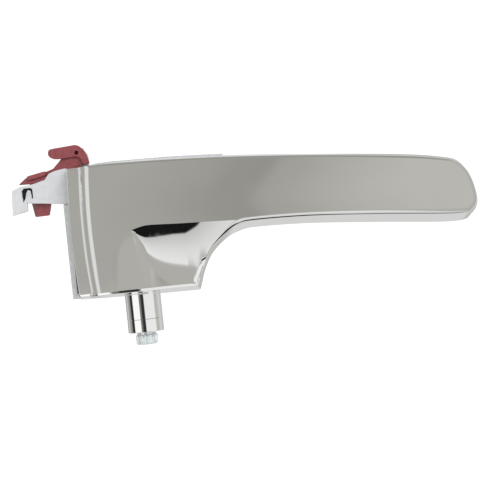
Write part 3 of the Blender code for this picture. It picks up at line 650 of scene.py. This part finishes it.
def tone(red, green=None, blue=None):
    """Linear colour of a display colour from 0 to 255."""
    values = (red, red if green is None else green, red if blue is None else blue)
    linear = [(v / 255 / 12.92) if v < 10.4 else ((v / 255 + 0.055) / 1.055) ** 2.4 for v in values]
    return (*linear, 1.0)


def grain_group():
    """Fine and coarse unevenness of a moulded or plated surface."""
    group = bpy.data.node_groups.get("surface_grain")
    if group:
        return group
    group = bpy.data.node_groups.new("surface_grain", "ShaderNodeTree")
    for name, value in (("Fine Scale", 4000.0), ("Coarse Scale", 300.0)):
        socket = group.interface.new_socket(name=name, in_out="INPUT", socket_type="NodeSocketFloat")
        socket.default_value = value
    for name in ("Fine", "Coarse"):
        group.interface.new_socket(name=name, in_out="OUTPUT", socket_type="NodeSocketFloat")
    web = Web(group)
    inward = web.node("NodeGroupInput")
    outward = web.node("NodeGroupOutput")
    place = web.node("ShaderNodeTexCoord").outputs["Object"]
    for name, detail in (("Fine", 2.0), ("Coarse", 3.0)):
        noise = web.node("ShaderNodeTexNoise", {
            "Vector": place, "Scale": inward.outputs[f"{name} Scale"], "Detail": detail})
        web.give(outward.inputs[name], noise.outputs["Fac"])
    return group


def wear_group():
    """Mask of worn edges: bright where the surface turns sharply outwards, broken up by noise."""
    group = bpy.data.node_groups.get("edge_wear")
    if group:
        return group
    group = bpy.data.node_groups.new("edge_wear", "ShaderNodeTree")
    for name, value in (("Amount", 0.5), ("Scale", 900.0)):
        socket = group.interface.new_socket(name=name, in_out="INPUT", socket_type="NodeSocketFloat")
        socket.default_value = value
    group.interface.new_socket(name="Mask", in_out="OUTPUT", socket_type="NodeSocketFloat")
    web = Web(group)
    inward = web.node("NodeGroupInput")
    outward = web.node("NodeGroupOutput")
    edge = web.span(web.node("ShaderNodeNewGeometry").outputs["Pointiness"], 0.52, 0.60)
    noise = web.node("ShaderNodeTexNoise", {
        "Vector": web.node("ShaderNodeTexCoord").outputs["Object"], "Scale": inward.outputs["Scale"]})
    broken = web.span(noise.outputs["Fac"], 0.35, 0.65)
    web.give(outward.inputs["Mask"],
             web.calc("MULTIPLY", web.calc("MULTIPLY", edge, broken), inward.outputs["Amount"]))
    return group


def finish(name, colour, roughness, metallic, roughness_spread=0.05, shade=0.06, bump=0.02,
           fine=4000.0, coarse=300.0, wear=0.0, wear_colour=(0.8, 0.8, 0.8, 1), **sockets):
    """A finish whose colour, roughness and relief vary finely over the surface."""
    name = f"{name}_finish"     # the frame has its own plain materials, named after the slots
    if name in bpy.data.materials:
        return bpy.data.materials[name]
    material = bpy.data.materials.new(name)
    material.use_nodes = True
    web = Web(material.node_tree)
    shader = material.node_tree.nodes["Principled BSDF"]
    grain = web.node("ShaderNodeGroup", node_tree=grain_group())
    grain.inputs["Fine Scale"].default_value = fine
    grain.inputs["Coarse Scale"].default_value = coarse
    dark = tuple(c * (1 - shade) for c in colour[:3]) + (1,)
    light = tuple(min(1, c * (1 + shade)) for c in colour[:3]) + (1,)
    base = web.mix(web.span(grain.outputs["Coarse"], 0.3, 0.7), dark, light)
    if wear:
        worn = web.node("ShaderNodeGroup", node_tree=wear_group())
        worn.inputs["Amount"].default_value = wear
        base = web.mix(worn.outputs["Mask"], base, wear_colour)
    web.give(shader.inputs["Base Color"], base)
    web.give(shader.inputs["Roughness"], web.span(
        grain.outputs["Coarse"], 0.3, 0.7, max(0.0, roughness - roughness_spread),
        roughness + roughness_spread))
    if bump:
        relief = web.node("ShaderNodeBump", {"Height": grain.outputs["Fine"], "Strength": bump,
                                             "Distance": 0.0001})
        web.give(shader.inputs["Normal"], relief.outputs["Normal"])
    shader.inputs["Metallic"].default_value = metallic
    for key, value in sockets.items():
        shader.inputs[key.replace("_", " ").title()].default_value = value
    return material


def chrome():
    return finish("chrome_plate", bpy.context.scene.lever_colours.chrome, 0.035, 1.0,
                  roughness_spread=0.012, shade=0.01, bump=0.0, coarse=90.0)


def satin_zinc():
    return finish("satin_zinc", bpy.context.scene.lever_colours.zinc, 0.36, 0.3,
                  roughness_spread=0.05, shade=0.03, bump=0.06, fine=6000.0, coarse=700.0,
                  wear=0.35, wear_colour=(0.98, 0.99, 1.0, 1))


def bright_zinc():
    return finish("bright_zinc", bpy.context.scene.lever_colours.bright_zinc, 0.2, 0.45,
                  roughness_spread=0.06, shade=0.08, bump=0.05, coarse=1200.0,
                  wear=0.4, wear_colour=(0.98, 0.99, 1.0, 1))


def red_plastic():
    return finish("red_plastic", bpy.context.scene.lever_colours.red, 0.42, 0.0,
                  roughness_spread=0.08, shade=0.12, bump=0.12, fine=7000.0, coarse=900.0)


def black_plastic():
    return finish("black_plastic", bpy.context.scene.lever_colours.black, 0.45, 0.0,
                  roughness_spread=0.06, shade=0.2, bump=0.5, fine=5200.0, coarse=600.0)


def rubber():
    return finish("rubber", (0.02, 0.02, 0.02, 1), 0.75, 0.0, shade=0.25, bump=0.3, fine=3000.0)


def nylon():
    return finish("white_nylon", (0.74, 0.73, 0.69, 1), 0.4, 0.0, shade=0.03, bump=0.05)


def spring_wire():
    return finish("spring_steel", (0.33, 0.34, 0.36, 1), 0.3, 1.0, shade=0.15, bump=0.08)


def galvanised():
    return finish("galvanised_steel", (0.5, 0.52, 0.53, 1), 0.38, 1.0, shade=0.18, bump=0.05, coarse=350.0)


# ---- Lever shell ----

def lever_edge(step):
    """Back and face outlines of the lever, with the same number of points."""
    stretches = [[(*back, *front) for back, front in part] for part in (GRIP_EDGE, HUB_FOOT, FLANGE_SIDE)]
    corners = [(*back, *front) for back, front in CORNERS]
    loop = []
    for i, stretch in enumerate(stretches):
        fine = smooth_through(stretch, step * 1.4 / 3)
        loop += [p for k, p in enumerate(fine)
                 if k % 3 == 0 or p[0] < FLANGE_FINE_X or k == len(fine) - 1]
        loop += bend(stretch[-1], corners[i], stretches[(i + 1) % 3][0], 4)
    return [(p[0], p[1]) for p in loop], [(p[2], p[3]) for p in loop]


def side_rings(back, front):
    """Rings from the back edge up the leaning wall and over the rounding to the face."""
    profile = smooth_through(EDGE_PROFILE, 0.016)
    rings = []
    for part in (0.0, 0.3, 0.6, 0.85):
        ring = []
        for (bx, bz), (fx, fz) in zip(back, front):
            lean = 1 - (1 - profile[-1].x) * part
            depth = (1 - part) * (SHELL_BACK_Y - face_y(fx, fz)) + part * profile[-1].y
            ring.append(Vector((fx + (bx - fx) * lean, face_y(fx, fz) + depth, fz + (bz - fz) * lean)))
        rings.append(ring)
    for lean, depth in reversed(profile):
        rings.append([Vector((fx + (bx - fx) * lean, face_y(fx, fz) + depth, fz + (bz - fz) * lean))
                      for (bx, bz), (fx, fz) in zip(back, front)])
    return rings


def ring_normals(rings):
    """Outward normal at each ring point, from its neighbours."""
    count = len(rings[0])
    normals = []
    for r, ring in enumerate(rings):
        lower, upper = rings[max(r - 1, 0)], rings[min(r + 1, len(rings) - 1)]
        row = []
        for i in range(count):
            along = ring[(i + 1) % count] - ring[i - 1]
            up = upper[i] - lower[i]
            row.append(up.cross(along).normalized())
        normals.append(row)
    return normals


def face_points(outline, step):
    """Points inside the face: dense where it is shaped and sparse where it is flat."""
    low_x, high_x = min(p[0] for p in outline), max(p[0] for p in outline)
    low_z, high_z = min(p[1] for p in outline), max(p[1] for p in outline)
    border = {}
    for x, z in outline:
        border.setdefault((round(x / 4), round(z / 4)), []).append((x, z))
    points = []
    for i in range(int((high_x - low_x) / step) + 1):
        for j in range(int((high_z - low_z) / step) + 1):
            x, z = low_x + i * step, low_z + (j + 0.5 * (i % 2)) * step
            if not ((-10 < x < 33 and z < 36) or (i % 6 == 0 and j % 6 == 0 and x > -11)):
                continue
            cell = (round(x / 4), round(z / 4))
            near = [p for a in (-1, 0, 1) for b in (-1, 0, 1)
                    for p in border.get((cell[0] + a, cell[1] + b), ())]
            if is_inside(outline, x, z) and all(math.hypot(x - a, z - b) > 0.8 * step for a, b in near):
                points.append((x, z))
    return points


def rounding_lines(outline):
    """Upright lines down the left rounding and the flange beside it."""
    low, high = ROUNDING_Z
    heights = [low + (high - low) * i / 40 for i in range(41)]
    turns = [math.sin(ROUND_SWEEP * k / 12) / math.sin(ROUND_SWEEP) for k in range(13)] + [1.06, 1.4]
    lines = []
    for turn in turns:
        line = [(left_line(ROUND_X - turn * ROUND_WIDTH, z), z) for z in heights]
        lines.append([p for p in line if is_inside(outline, *p)])
    return lines


def hub_edge_lines(outline):
    """Lines down the strip beside the hub's right edge."""
    lines = []
    for into in (0.0, HUB_EDGE_EASE / 2, HUB_EDGE_EASE, 0.6 * HUB_EDGE_WIDTH):
        line = [(value_at(HUB_EDGE_CURVE, z) - HUB_EDGE_WIDTH + into, z)
                for z in (HUB_EDGE_TOP - 0.4 * i for i in range(40))]
        lines.append([p for p in line if is_inside(outline, *p) and edge_distance(outline, *p) > 0.3])
    return lines


def corner_normals(points, triangles, on_crease):
    """Face normals per corner; corners on a crease take the slope of their own side."""
    normals = []
    for triangle in triangles:
        middle = sum((Vector(points[i]) for i in triangle), Vector((0, 0))) / 3
        for i in triangle:
            at = Vector(points[i])
            if on_crease(*at):
                at = at.lerp(middle, 0.25)
            normals.append(face_normal(*at))
    return normals


def is_crease(x, z):
    if abs((left_line(ROUND_X, z) - x) / ROUND_WIDTH - 1) < 0.01:
        return True
    return -1.0 < x < 33 and abs(value_at(RECESS_TOP_CURVE, x) - z) < 0.03


def lever_skin(sizes):
    """Vertices, faces and corner normals of the chromed shell."""
    back, front = lever_edge(sizes.edge_step / MM)
    rings = side_rings(back, front)
    row_normals = ring_normals(rings)
    count = len(back)
    last = (len(rings) - 1) * count
    vertices = [tuple(p) for ring in rings for p in ring]
    faces, normals = [], []
    for r in range(len(rings) - 1):
        for i in range(count):
            j = (i + 1) % count
            corners = [(r, i), (r + 1, i), (r + 1, j), (r, j)]
            faces.append(tuple(row * count + k for row, k in corners))
            normals += [row_normals[row][k] for row, k in corners]

    step = sizes.face_step / MM
    lines = rounding_lines(front) + hub_edge_lines(front)
    crease = [p for p in RECESS_TOP_CURVE if is_inside(front, *p)]
    near = {}
    for x, z in [p for line in [*lines, crease] for p in line]:
        near.setdefault((round(x), round(z)), []).append((x, z))

    def is_free(x, z):
        beside = [p for a in (-1, 0, 1) for b in (-1, 0, 1)
                  for p in near.get((round(x) + a, round(z) + b), ())]
        return all(math.hypot(x - a, z - b) > 0.5 * step for a, b in beside)

    loose = [p for p in face_points(front, step) if is_free(*p)]
    points, triangles, border = filled([front], loose, [*lines, crease])
    first = len(vertices)
    vertices += [(x, face_y(x, z), z) for x, z in points[border:]]
    faces += [tuple(i + last if i < border else i - border + first for i in t) for t in triangles]
    normals += corner_normals(points, triangles, is_crease)
    return vertices, faces, normals, back


def lever_hollow(vertices, back):
    """The rim and the hollow behind the face; vertices already hold the back outline."""
    cavity = [(max(x, CAVITY_LEFT_X), z) for x, z in inset(back, RIM_WALL)]
    _, rim, _ = filled([back, cavity])
    points, floor, _ = filled([cavity], face_points(cavity, 2.0))
    count, size, first = len(back), len(cavity), len(vertices)
    vertices += [(x, SHELL_BACK_Y, z) for x, z in cavity]
    vertices += [(x, face_y(x, z) + FACE_WALL, z) for x, z in points]
    faces = [tuple(i if i < count else i - count + first for i in reversed(t)) for t in rim]
    faces += [tuple(i + first + size for i in reversed(t)) for t in floor]
    for i in range(size):
        j = (i + 1) % size
        faces.append((first + i, first + j, first + size + j, first + size + i))
    return faces


class LEVER_OT_shell(bpy.types.Operator):
    """Build the chromed shell of hub and grip, with its finger recess and flange"""
    bl_idname = "lever.shell"
    bl_label = "Chromed Shell"

    def execute(self, context):
        sizes = context.scene.lever_sizes
        vertices, faces, normals, back = lever_skin(sizes)
        for face in lever_hollow(vertices, back):
            a, b, c = (Vector(vertices[i]) for i in face[:3])
            faces.append(face)
            normals += [(b - a).cross(c - a).normalized()] * len(face)
        new_piece("lever_skin", vertices, faces, chrome(), "lever", "chrome_plate",
                  ["handle_shell"], normals)
        barrel = turned(BOSS_BARREL, closed=True, count=96)
        new_piece("boss_barrel", *barrel, chrome(), "lever", "chrome_plate")
        posts = [post(at, 2.2, 1.1, FRONT_Y + POST_ROOT, -1.6) for at in GRIP_SCREWS]
        posts += [post(at, 2.7, 1.3, face_y(*at) + POST_ROOT, 0.3) for at in CARRIER_SCREWS]
        tube = turned(UPPER_TUBE, closed=True)
        new_piece("shell_posts", *joined(tube, *posts), chrome(), "lever", "chrome_plate")
        return {"FINISHED"}


class LEVER_OT_pivot(bpy.types.Operator):
    """Build the knurled pivot pin, the collar on it and the return spring"""
    bl_idname = "lever.pivot"
    bl_label = "Pivot"

    def execute(self, context):
        new_piece("pin", *knurled_pin(), bright_zinc(), "pivot", "satin_zinc", ["pivot_pin"])
        new_piece("collar", *turned(COLLAR, closed=True, count=96), chrome(), "pivot", "chrome_plate",
                  ["boss_collar"])
        spring = new_piece("spring", *swept(spring_path(), WIRE_R, 14), spring_wire(), None, "spring_steel",
                           ["return_spring"])
        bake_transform(spring)
        return {"FINISHED"}


class LEVER_OT_cable_arm(bpy.types.Operator):
    """Build the stamped arm that pulls the latch cable, and the black sheet behind its slot that paints the
    slot's shade
    """
    bl_idname = "lever.cable_arm"
    bl_label = "Cable Arm"

    def execute(self, context):
        holes = [ARM_SLOT, *[circle(*at, 1.4, 32) for at in RIVETS]]
        # Points inside the bent end, so that it can bend.
        low_x, low_z, step = -39.0, 41.5, 0.8
        grid = [(low_x + step * i, low_z + step * j) for i in range(14) for j in range(13)]
        grid = [p for p in grid if is_inside(ARM_OUTLINE, *p) and not is_inside(ARM_SLOT, *p)
                and all(edge_distance(loop, *p) > 0.35 for loop in (ARM_OUTLINE, *holes))]
        vertices, faces = slab(ARM_OUTLINE, *ARM_Y, holes, grid)
        vertices = [(x, y + arm_bend(x, z), z) for x, y, z in vertices]
        # Painted shade: a black rubber sheet behind the slot, which makes the slot look dark.
        slot_shade_sheet = slab(SLOT_SHADE_SHEET_OUTLINE, *SLOT_SHADE_SHEET_Y)
        rounded(new_piece("slot_shade_sheet", *slot_shade_sheet, rubber(), "lever", "rubber", ["cable_liner"]), 0.12)
        arm = new_piece("arm", vertices, faces, satin_zinc(), "lever", "satin_zinc", ["cable_arm"])
        rounded(arm, 0.22, angle=50)
        return {"FINISHED"}


class LEVER_OT_clip(bpy.types.Operator):
    """Build the moulded clip that holds the cable end in the arm"""
    bl_idname = "lever.clip"
    bl_label = "Cable Clip"

    def execute(self, context):
        low, high = CLIP_Y
        hole = [circle(*CLIP_HOLE, CLIP_HOLE_R, 24)]
        parts = [slab(CLIP_BODY, low + 1.0, high, hole), slab(CLIP_FRONT, low, low + 1.1, hole)]
        parts.append(slab(circle(*CLIP_HOLE, 1.2, 24), high - 0.9, high))     # the hole's bottom
        parts.append(skinned([[(x, y, z) for x, z in outline] for y, outline in CLIP_BLOCK], False))
        parts.append(slab(CLIP_WEDGE, 1.5, low + 1.0))
        clip = new_piece("clip_body", *joined(*parts), red_plastic(), "clip", "red_plastic", ["cable_clip"])
        rounded(clip, 0.28)
        bar = skinned(clip_bar_rings(), False)
        rounded(new_piece("clip_bar", *bar, red_plastic(), "clip", "red_plastic"), 0.2)
        return {"FINISHED"}


class LEVER_OT_back(bpy.types.Operator):
    """Refine the rear carrier and the grip's back cover"""
    bl_idname = "lever.back"
    bl_label = "Carrier and Cover"

    def execute(self, context):
        refined("rear_carrier", "carrier", satin_zinc(), 0.35)
        refined("grip_back_cover", "cover", black_plastic(), 0.3)
        return {"FINISHED"}


class LEVER_OT_fasteners(bpy.types.Operator):
    """Build the screws, the arm's rivets, the clip's pin and the rubber bumpers"""
    bl_idname = "lever.fasteners"
    bl_label = "Fasteners"

    def execute(self, context):
        for i, at in enumerate(CARRIER_SCREWS, 1):
            new_piece(f"carrier_screw_{i}_fine", *screw(at, **CARRIER_SCREW), bright_zinc(), "lever",
                      "bright_zinc", [f"carrier_screw_{i}"])
        for i, at in enumerate(GRIP_SCREWS, 1):
            new_piece(f"cover_screw_{i}_fine", *screw(at, **COVER_SCREW), bright_zinc(), "lever",
                      "bright_zinc", [f"cover_screw_{i}"])
        for i, at in enumerate(RIVETS, 1):
            new_piece(f"arm_rivet_{i}_fine", *turned(RIVET, at, "Y", False, 48), bright_zinc(), "lever",
                      "bright_zinc", [f"arm_rivet_{i}"])
        for i, at in enumerate(BUMPERS, 1):
            new_piece(f"stop_bumper_{i}_fine", *turned(BUMPER, at, "Y", False, 48), rubber(), "lever",
                      "rubber", [f"stop_bumper_{i}"])
        new_piece("hinge_pin", *turned(HINGE_PIN, CLIP_HINGE, "Y", False, 32), bright_zinc(), "lever",
                  "bright_zinc", ["clip_hinge_pin"])
        return {"FINISHED"}


# Name, place, width and height in metres, and share of the key light's power.
SOFT_BOXES = [("key_light", (0.4, -0.6, 0.45), (0.5, 0.4), 1.0),
              ("fill_light", (-0.5, -0.7, 0.1), (0.6, 0.6), 0.25),
              ("rim_light", (0.1, 0.7, 0.5), (0.6, 0.4), 0.6)]


class LEVER_OT_stage(bpy.types.Operator):
    """Set up the floor, the soft studio light and the camera"""
    bl_idname = "lever.stage"
    bl_label = "Studio"

    def execute(self, context):
        settings = context.scene.lever_studio
        studio_world(context.scene, settings)
        staged = [studio_floor(), foot_screen()]
        for name, place, size, share in SOFT_BOXES:
            staged.append(soft_box(name, place, size, settings.key_power * share))
        studio_camera(context.scene, settings)
        return {"FINISHED"}


# ---- Studio ----

# What chrome sees round about at the height of the lever, from straight behind the lever on the
# left, past the camera at 0 degrees, to behind it on the right: (degrees, display brightness).
AROUND = [(-180, 176), (-120, 168), (-98, 160), (-84, 157), (-70, 178), (-62, 216), (-24, 216),
          (24, 173), (42, 173), (47, 232), (62, 232), (72, 200), (100, 205), (120, 196), (180, 176)]
# The middle of that again, more finely: the room's corner stands just right of the camera.
AHEAD_HALF = 30
AHEAD = [(-30, 216), (-24, 216), (-17, 182), (-12, 151), (-9.5, 162), (-6.5, 163), (-4.2, 158),
         (-2.6, 153), (-1.4, 147), (-0.2, 145), (0.25, 147), (0.6, 158), (1.6, 160), (3.3, 169),
         (4.9, 176), (6.5, 181), (9.5, 182), (15, 173), (30, 173)]
CORNER_RISE = 1.9      # the corner's picture is bent like an arrowhead, pointing left at this rise
CORNER_BEND = 0.9
LOW_GREY = 171         # straight ahead but a little lower
DARK = 22              # a dark band on the floor before the camera, between these two turns
DARK_OVER = (-18.2, -36.0)
# What it sees over and under: 0 is the camera, -90 the floor, 90 the ceiling.
OVER = [(-90, 204), (-78, 202), (-30, 196), (-17.9, 190), (-14, 212), (-9.2, 228),
        (-8.3, 172), (-3, 170), (0, 162), (12, 158), (22, 146), (52, 146), (62, 208), (90, 208)]
# What the pivot's foot sees just round it, by the bearing from the pivot.
ROUND_FOOT = [(-180, 206), (-114, 206), (-108, 172), (-92, 150), (-83, 122), (-80, 45), (-65, 45),
              (-61, 252), (-24, 252), (-20, 122), (-11.4, 112), (-9.5, 52), (4.8, 42), (8.6, 232),
              (67, 232), (73, 182), (95, 186), (100, 203), (180, 206)]


def grey(level):
    """A grey of the studio. The middle ones are slightly warm."""
    return tone(level, level - 1, level - 5) if 100 < level < 190 else tone(level)


def in_turns(stops, half=180):
    """Ramp stops from degrees and brightness."""
    return [((degrees / half + 1) / 2, grey(level)) for degrees, level in stops]


def studio_world(scene, settings):
    """A soft studio all round. It is told by direction only, and the camera sees plain white."""
    world = bpy.data.worlds.new("studio")
    world.use_nodes = True
    scene.world = world
    scene.view_settings.view_transform = "Standard"
    web = Web(world.node_tree)
    background = world.node_tree.nodes["Background"]
    direction = web.node("ShaderNodeTexCoord").outputs["Generated"]
    x, y, z = web.node("ShaderNodeSeparateXYZ", {"Vector": direction}).outputs
    ahead = web.calc("MULTIPLY", y, -1.0)

    def turn_of(a, full):
        return web.calc("ADD", web.calc("DIVIDE", web.calc("ARCTAN2", a, ahead), full), 0.5)

    around, over = turn_of(x, 2 * math.pi), turn_of(z, math.pi)
    rise = web.calc("DEGREES", web.calc("ARCSINE", z))
    bearing = web.calc("DEGREES", web.calc("ARCTAN2", x, ahead))
    off = web.calc("MINIMUM", web.calc("ABSOLUTE", web.calc("SUBTRACT", rise, CORNER_RISE)), 3.0)
    bent = web.calc("SUBTRACT", bearing, web.calc("MULTIPLY", off, CORNER_BEND))
    middle = web.ramp(web.span(bent, -AHEAD_HALF, AHEAD_HALF, smooth=False), in_turns(AHEAD, AHEAD_HALF))
    beside = web.span(web.calc("ABSOLUTE", bearing), AHEAD_HALF - 6, AHEAD_HALF - 3)
    side = web.mix(beside, middle, web.ramp(around, in_turns(AROUND)))
    lean = web.calc("DEGREES", web.calc("ARCTAN2", web.calc("ABSOLUTE", z), web.calc("ABSOLUTE", x)))
    low = web.calc("MULTIPLY", web.span(rise, -0.6, -1.9), web.calc("SUBTRACT", 1.0, beside))
    side = web.mix(low, side, grey(LOW_GREY))
    upright = web.calc("MULTIPLY", web.span(lean, 53, 65), web.span(web.calc("ABSOLUTE", rise), 5.5, 8.0))
    colour = web.mix(upright, side, web.ramp(over, in_turns(OVER, 90)))
    near, far = (turn / 180 + 0.5 for turn in DARK_OVER)
    dark = web.calc("MULTIPLY", web.span(over, near + 0.002, near - 0.002),
                    web.span(over, far - 0.015, far + 0.01))
    colour = web.mix(web.calc("MULTIPLY", dark, web.span(lean, 64, 74)), colour, tone(DARK))
    seen = web.mix(web.node("ShaderNodeLightPath").outputs["Is Camera Ray"], colour, (1, 1, 1, 1))
    web.give(background.inputs["Color"], seen)
    background.inputs["Strength"].default_value = settings.surround


def foot_screen():
    """A low screen round the pivot's foot, seen only in its chrome."""
    radius, low, high, count = 30.0, -7.0, 11.5, 96
    turns = [math.radians(240 * i / count - 120) for i in range(count + 1)]
    rings = [[(radius * math.sin(a), -radius * math.cos(a), z) for a in turns] for z in (low, high)]
    vertices = [p for ring in rings for p in ring]
    faces = [(i, i + 1, count + 2 + i, count + 1 + i) for i in range(count)]
    mesh = bpy.data.meshes.new("foot_screen")
    mesh.from_pydata([Vector(v) * MM for v in vertices], [], faces)
    material = bpy.data.materials.new("foot_screen")
    material.use_nodes = True
    web = Web(material.node_tree)
    place = web.node("ShaderNodeTexCoord").outputs["Object"]
    x, y, _ = web.node("ShaderNodeSeparateXYZ", {"Vector": place}).outputs
    bearing = web.calc("DIVIDE", web.calc("ARCTAN2", x, web.calc("MULTIPLY", y, -1.0)), 2 * math.pi)
    colour = web.ramp(web.calc("ADD", bearing, 0.5), in_turns(ROUND_FOOT))
    shader = material.node_tree.nodes["Principled BSDF"]
    shader.inputs["Base Color"].default_value = (0, 0, 0, 1)
    shader.inputs["Specular IOR Level"].default_value = 0.0
    web.give(shader.inputs["Emission Color"], colour)
    shader.inputs["Emission Strength"].default_value = 1.1
    mesh.materials.append(material)
    screen = bpy.data.objects.new("foot_screen", mesh)
    bpy.context.scene.collection.objects.link(screen)
    screen.visible_camera = screen.visible_diffuse = screen.visible_shadow = False
    return screen


def soft_box(name, place, size, power):
    """An area light aimed at the lever, for the plastics: mirrors don't show it."""
    data = bpy.data.lights.new(name, "AREA")
    data.shape = "RECTANGLE"
    data.size, data.size_y = size
    data.energy = power
    light = bpy.data.objects.new(name, data)
    bpy.context.scene.collection.objects.link(light)
    light.location = place
    aim = Vector((0.03, 0, 0.03)) - Vector(place)
    light.rotation_euler = aim.to_track_quat("-Z", "Y").to_euler()
    light.visible_glossy = False
    return light


def studio_floor():
    """A wide pale floor well below the lever. It glows by itself, so it stays even."""
    shape = bmesh.new()
    bmesh.ops.create_grid(shape, x_segments=8, y_segments=8, size=6.0)
    mesh = bpy.data.meshes.new("studio_floor")
    shape.to_mesh(mesh)
    shape.free()
    material = bpy.data.materials.new("studio_floor")
    material.use_nodes = True
    shader = material.node_tree.nodes["Principled BSDF"]
    shader.inputs["Base Color"].default_value = (0.9, 0.9, 0.9, 1)
    shader.inputs["Roughness"].default_value = 0.9
    shader.inputs["Emission Color"].default_value = (1, 1, 1, 1)
    shader.inputs["Emission Strength"].default_value = 0.55
    mesh.materials.append(material)
    floor = bpy.data.objects.new("studio_floor", mesh)
    floor.location.z = -0.25
    floor.visible_glossy = False
    floor.visible_diffuse = False
    bpy.context.scene.collection.objects.link(floor)
    return floor


CAMERA_AIM = (0.03443, 0.02437)     # the face point straight ahead of the camera: X and Z in metres


def studio_camera(scene, settings):
    """Straight in front of the face, turned so that the pivot leans to the left at its top."""
    data = bpy.data.cameras.new("studio_camera")
    data.lens = settings.focal_length
    data.sensor_width = 36
    camera = bpy.data.objects.new("studio_camera", data)
    scene.collection.objects.link(camera)
    c, s = math.cos(settings.lean), math.sin(settings.lean)
    turn = Matrix(((c, s, 0), (0, 0, -1), (-s, c, 0)))
    x, z = CAMERA_AIM
    camera.matrix_world = Matrix.Translation((x, -settings.distance, z)) @ turn.to_4x4()
    scene.camera = camera


class LEVER_OT_finishes(bpy.types.Operator):
    """Give the CAD pieces that stay their finishes"""
    bl_idname = "lever.finishes"
    bl_label = "Finishes"

    def execute(self, context):
        makers = {"chrome_plate": chrome, "satin_zinc": satin_zinc, "bright_zinc": bright_zinc,
                  "red_plastic": red_plastic, "dark_plastic": black_plastic, "rubber": rubber,
                  "white_nylon": nylon, "spring_steel": spring_wire, "galvanised_steel": galvanised}
        for subpart in frame["record"]["subparts"]:
            node = frame["nodes"][subpart["node"]]
            node.data.materials.clear()
            node.data.materials.append(makers[subpart["material_slot"]]())
            node.data.shade_smooth()
            node.data.set_sharp_from_angle(angle=math.radians(32))
        return {"FINISHED"}


class LEVER_PT_panel(bpy.types.Panel):
    """Lists the lever's builders and their settings"""
    bl_idname = "LEVER_PT_panel"
    bl_label = "Door Release Lever"
    bl_space_type = "VIEW_3D"
    bl_region_type = "UI"
    bl_category = "Door Lever"

    def draw(self, context):
        layout = self.layout
        for name in ("lever_sizes", "lever_colours", "lever_studio"):
            group = getattr(context.scene, name)
            box = layout.box()
            for key in group.__annotations__:
                box.prop(group, key)
        for operator in OPERATORS:
            layout.operator(operator.bl_idname)


OPERATORS = [LEVER_OT_finishes, LEVER_OT_shell, LEVER_OT_pivot, LEVER_OT_cable_arm, LEVER_OT_clip,
             LEVER_OT_back, LEVER_OT_fasteners, LEVER_OT_stage]
GROUPS = {"lever_sizes": LeverSizes, "lever_colours": LeverColours, "lever_studio": StudioSettings}


def register():
    for group in GROUPS.values():
        bpy.utils.register_class(group)
    for name, group in GROUPS.items():
        setattr(bpy.types.Scene, name, PointerProperty(type=group))
    for cls in [*OPERATORS, LEVER_PT_panel]:
        bpy.utils.register_class(cls)


def unregister():
    for cls in reversed([*GROUPS.values(), *OPERATORS, LEVER_PT_panel]):
        bpy.utils.unregister_class(cls)
    for name in GROUPS:
        delattr(bpy.types.Scene, name)


def main():
    register()
    bpy.ops.lever.finishes()
    bpy.ops.lever.shell()
    bpy.ops.lever.pivot()
    bpy.ops.lever.cable_arm()
    bpy.ops.lever.clip()
    bpy.ops.lever.back()
    bpy.ops.lever.fasteners()
    bpy.ops.lever.stage()
    bpy.context.view_layer.update()


if __name__ == "__main__":
    main()
